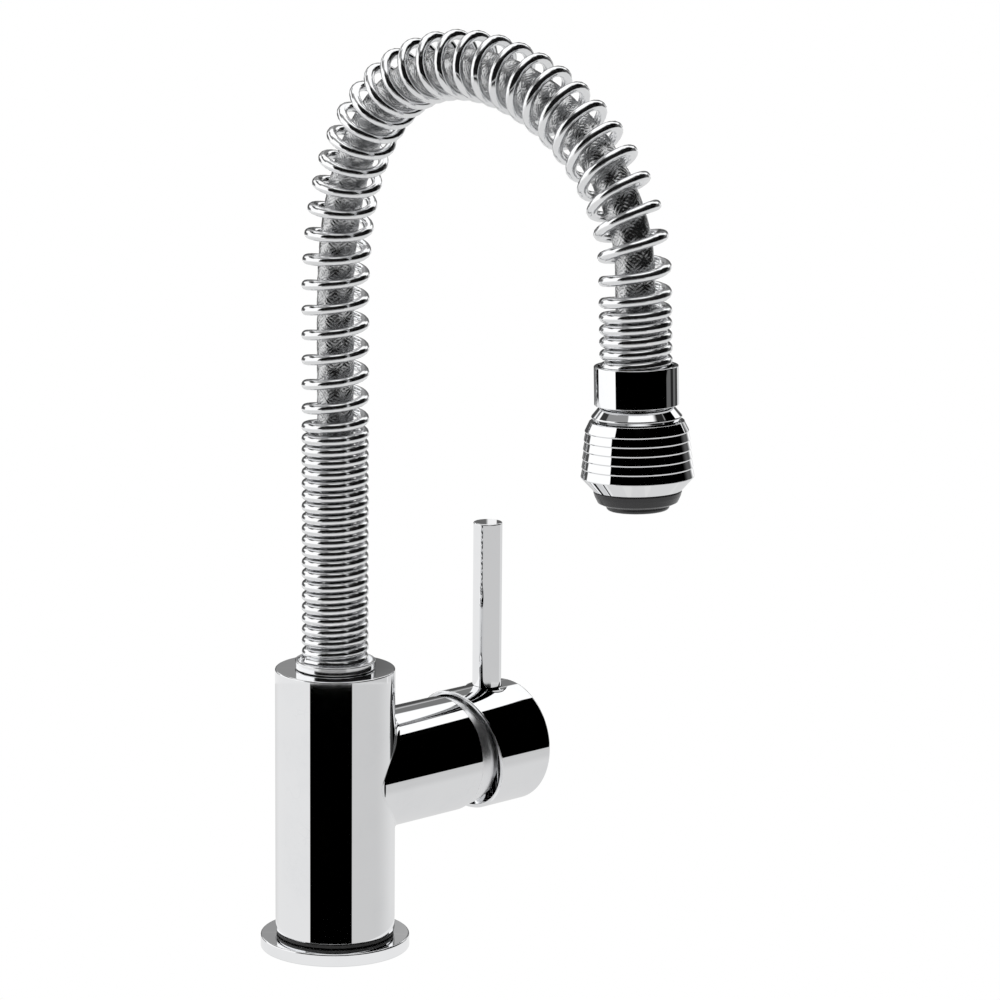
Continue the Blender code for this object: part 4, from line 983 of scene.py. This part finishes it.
def makeHose():
    s = hoseSize
    first = s["start"] - routeSize["floor"]
    final = routeLengths[-1] - routeSize["recess"] + s["endDepth"]
    count = int((final - first) / s["step"])
    run = np.linspace(first, final, count)
    centre, way, out = hoseCentre(run)
    side = np.array([1.0, 0, 0])
    shares = np.array(s["shares"])
    mean = s["radius"] - s["weave"] - s["crown"] * 0.5 - s["under"]
    spacing = 2 * pi / s["strands"]
    crossing = spacing / 2
    points, uvs, faces = [], [], []
    twist = tan(s["angle"]) / mean
    halfAngle = s["width"] / 2 / cos(s["angle"]) / mean
    number = 0
    for handed in (1, -1):
        for strand in range(s["strands"]):
            base = strand * spacing + (0.0 if handed > 0 else crossing / 2)
            # crossings come every half spacing; two over, two under
            beat = run * twist / crossing
            lift = np.sin(pi / 2 * (beat + (strand if handed > 0 else -strand)) + pi / 4) * handed
            lift = np.clip(lift * s["square"], -1, 1) * s["weave"]
            rows = []
            for j, across in enumerate(shares):
                angle = base + handed * run * twist + across * halfAngle
                crown = s["crown"] * (0.5 if abs(across) < 0.9 else -0.5)
                radius = mean + lift + crown
                spoke = side * np.cos(angle)[:, None] + out * np.sin(angle)[:, None]
                rows.append(centre + spoke * radius[:, None])
            start = number * count * len(shares)
            points.append(np.stack(rows, axis=1).reshape(-1, 3))
            u = number + 0.02 + 0.96 * (shares + 1) / 2
            uvs.append(np.stack([np.tile(u, count), np.repeat(run * 1000, len(shares))], axis=1))
            i = np.arange(count - 1)[:, None] * len(shares)
            k = np.arange(len(shares) - 1)[None, :]
            quads = np.stack([i + k, i + k + 1, i + k + 1 + len(shares), i + k + len(shares)], axis=2)
            faces.append(quads.reshape(-1, 4) + start)
            number += 1
    points = np.concatenate(points)
    faces = np.concatenate(faces)
    uvs = np.concatenate(uvs)
    mesh = bpy.data.meshes.new("braid")
    mesh.vertices.add(len(points))
    mesh.vertices.foreach_set("co", points.ravel())
    mesh.loops.add(faces.size)
    mesh.loops.foreach_set("vertex_index", faces.ravel())
    mesh.polygons.add(len(faces))
    mesh.polygons.foreach_set("loop_start", np.arange(0, faces.size, 4))
    mesh.update(calc_edges=True)
    layer = mesh.uv_layers.new(name="strand")
    layer.data.foreach_set("uv", uvs[faces.ravel()].ravel())
    mesh.shade_smooth()
    piece("braidedSleeve", mesh, braidMetal, "steel_braid", "spout", "hose_braid")
    coarse = np.linspace(first, final, s["backingSteps"])
    centre, way, out = hoseCentre(coarse)
    lining = tubeMesh("braidBacking", centre, out, s["core"], s["backingSides"])
    piece("braidBacking", lining, rubber, "rubber", "spout")


headFrame = Matrix.Translation(headOrigin) @ Matrix.Rotation(-routeSize["lean"], 4, "X")


def below(corners):
    # from depths below the head collar's top to heights
    return [(radius, -depth, size) for radius, depth, size in corners]


neckSize = {"radius": 0.0155, "height": 0.01447, "edge": 0.0004, "recess": 0.014, "thread": 0.0063,
            "threadEnd": 0.011, "hollow": 0.0108, "wall": 0.0008, "sides": 128}


def makeHeadCollar():
    s = neckSize
    corners = [(s["recess"], 0, hairEdge), (s["radius"], 0, s["edge"]), (s["radius"], s["height"], softEdge),
               (s["radius"] - s["wall"], s["height"], 0.0001), (s["hollow"], s["threadEnd"], 0),
               (s["thread"], s["threadEnd"], 0), (s["thread"], routeSize["recess"], 0),
               (s["recess"], routeSize["recess"], 0)]
    turned("headCollar", below(corners), s["sides"], headFrame, chrome, "chrome", "spout", "head_collar")


domeSize = {"topDepth": 0.0148, "topRadius": 0.0131, "opening": 0.0054, "slopeRadius": 0.0138,
            "slopeDepth": 0.0152, "radius": 0.01675, "full": 0.0187, "lowRadius": 0.0161,
            "lowDepth": 0.0200, "skirt": 0.0154, "skirtStart": 0.0204, "skirtEnd": 0.029, "thread": 0.0123,
            "seatEnd": 0.0245, "room": 0.0092, "ball": 0.021, "ballRoom": 0.0069, "sides": 128}


def makeDome():
    s = domeSize
    cap = [(s["topRadius"], s["topDepth"], hairEdge), (s["slopeRadius"], s["slopeDepth"], 0.0012),
           (s["radius"], s["full"], 0.0006), (s["lowRadius"], s["lowDepth"], hairEdge)]
    catch = asin(s["opening"] / s["ballRoom"])
    bowl = [(s["ballRoom"] * sin(a), s["ball"] - s["ballRoom"] * cos(a), 0)
            for a in np.linspace(pi / 2, catch, 9)]
    corners = [(s["opening"], s["topDepth"], 0), *cap, (s["skirt"], s["skirtStart"], 0),
               (s["skirt"], s["skirtEnd"], hairEdge), (s["thread"], s["skirtEnd"], 0),
               (s["thread"], s["seatEnd"], 0), (s["room"], s["seatEnd"], 0), (s["room"], s["ball"], 0),
               *bowl]
    turned("neckDome", below(corners), s["sides"], headFrame, chrome, "chrome", "head", "neck_dome")


bellSize = {"top": 0.0174, "shoulder": 0.01915, "shoulderHeight": 0.00395, "radius": 0.0208,
            "start": 0.0204, "ribs": 5, "pitch": 0.00335, "step": 0.0003, "edge": 0.0004, "cone": 0.0049,
            "end": 0.0163, "recess": 0.0148, "recessDepth": 0.0032, "slide": 0.0137, "skirt": 0.0157,
            "stepDepth": 0.0293, "sides": 144}
nozzleSize = {"inner": 0.0119, "spigot": 0.0145, "shoulder": 0.0158, "shoulderDrop": 0.0021, "low": 0.0147,
              "lowDrop": 0.0044, "end": 0.0126, "endDrop": 0.0054, "edge": 0.0003, "sides": 128}
insertSize = {"bore": 0.0082, "top": 0.039, "spigot": 0.0092, "flange": 0.0429, "radius": 0.0116,
              "end": 0.0533, "edge": 0.0012, "lip": 0.007, "lipWall": 0.0014, "sides": 96}


def makeBell():
    s = bellSize
    ribsStart = s["start"] + s["shoulderHeight"]
    growth = (s["radius"] - s["shoulder"]) / s["ribs"]
    outside = [(s["top"], s["start"], softEdge), (s["shoulder"], ribsStart - s["edge"], softEdge)]
    for i in range(s["ribs"]):
        top = ribsStart + i * s["pitch"]
        outside.append((s["shoulder"] + i * growth - s["step"], top, 0.00015))
        outside.append((s["shoulder"] + (i + 1) * growth, top + s["pitch"] - s["edge"], softEdge))
    waist = ribsStart + s["ribs"] * s["pitch"]
    outside.append((s["radius"], waist, 0.0004))
    bottom = waist + s["cone"]
    corners = [(s["skirt"], s["start"], 0), *outside, (s["end"], bottom, hairEdge), (s["recess"], bottom, 0),
               (s["recess"], bottom - s["recessDepth"], 0), (s["slide"], bottom - s["recessDepth"], 0),
               (s["slide"], s["stepDepth"], 0), (s["skirt"], s["stepDepth"], 0)]
    turned("ribbedBell", below(corners), s["sides"], headFrame, chrome, "chrome", "bell", "ribbed_bell")
    n = nozzleSize
    low = bottom + fitGap
    corners = [(n["inner"], bottom - s["recessDepth"] + fitGap, 0),
               (n["spigot"], bottom - s["recessDepth"] + fitGap, 0), (n["spigot"], low, 0),
               (s["end"], low, n["edge"]), (n["shoulder"], bottom + n["shoulderDrop"], n["edge"]),
               (n["low"], bottom + n["lowDrop"], n["edge"]), (n["end"], bottom + n["endDrop"], n["edge"]),
               (n["inner"], bottom + n["endDrop"], n["edge"])]
    turned("nozzleRing", below(corners), n["sides"], headFrame, blackPlastic, "black_plastic", "bell",
           "nozzle_ring")
    t = insertSize
    corners = [(t["bore"], t["top"], 0), (t["spigot"], t["top"], 0), (t["spigot"], t["flange"], 0),
               (t["radius"], t["flange"], 0), (t["radius"], t["end"], t["edge"]),
               (t["lip"], t["end"], softEdge), (t["lip"], t["end"] - t["lipWall"], 0),
               (t["bore"], t["end"] - t["lipWall"], 0)]
    turned("nozzleInsert", below(corners), t["sides"], headFrame, blackPlastic, "black_plastic", "head",
           "nozzle_insert")


makeFoot()
makeFootBand()
makeBody()
makeDressRing()
makeHandle()
print("stage: body and handle")
makeCollar()
makeSpring()
makeHose()
print("stage: spring and hose")
makeHeadCollar()
makeDome()
makeBell()
print("stage: spray head")


# the solids that stay get finishes of their own
finishes = [
    (rubber, "base_gasket body_o_ring hot_seal cold_seal outlet_seal upper_stem_seal lower_stem_seal"
             " upper_core_seal lower_core_seal hose_liner"),
    (steel, "stem_screw grub_screw lower_ferrule upper_ferrule upper_screen lower_screen"),
    (armSteel, "pivot_pin spindle"),
    (nickel, "spout_stem ball_stud"),
    (brass, "hose_nipple"),
    (armBrass, "cartridge_nut"),
    (greyPlastic, "cartridge_housing carrier head_core"),
    (whitePlastic, "slip_ring ball_seat aerator_cage"),
    (ceramic, "fixed_disc moving_disc"),
]
for material, names in finishes:
    for name in names.split():
        for slot in nodes[name].material_slots:
            slot.material = material
print("stage: solids that stay")
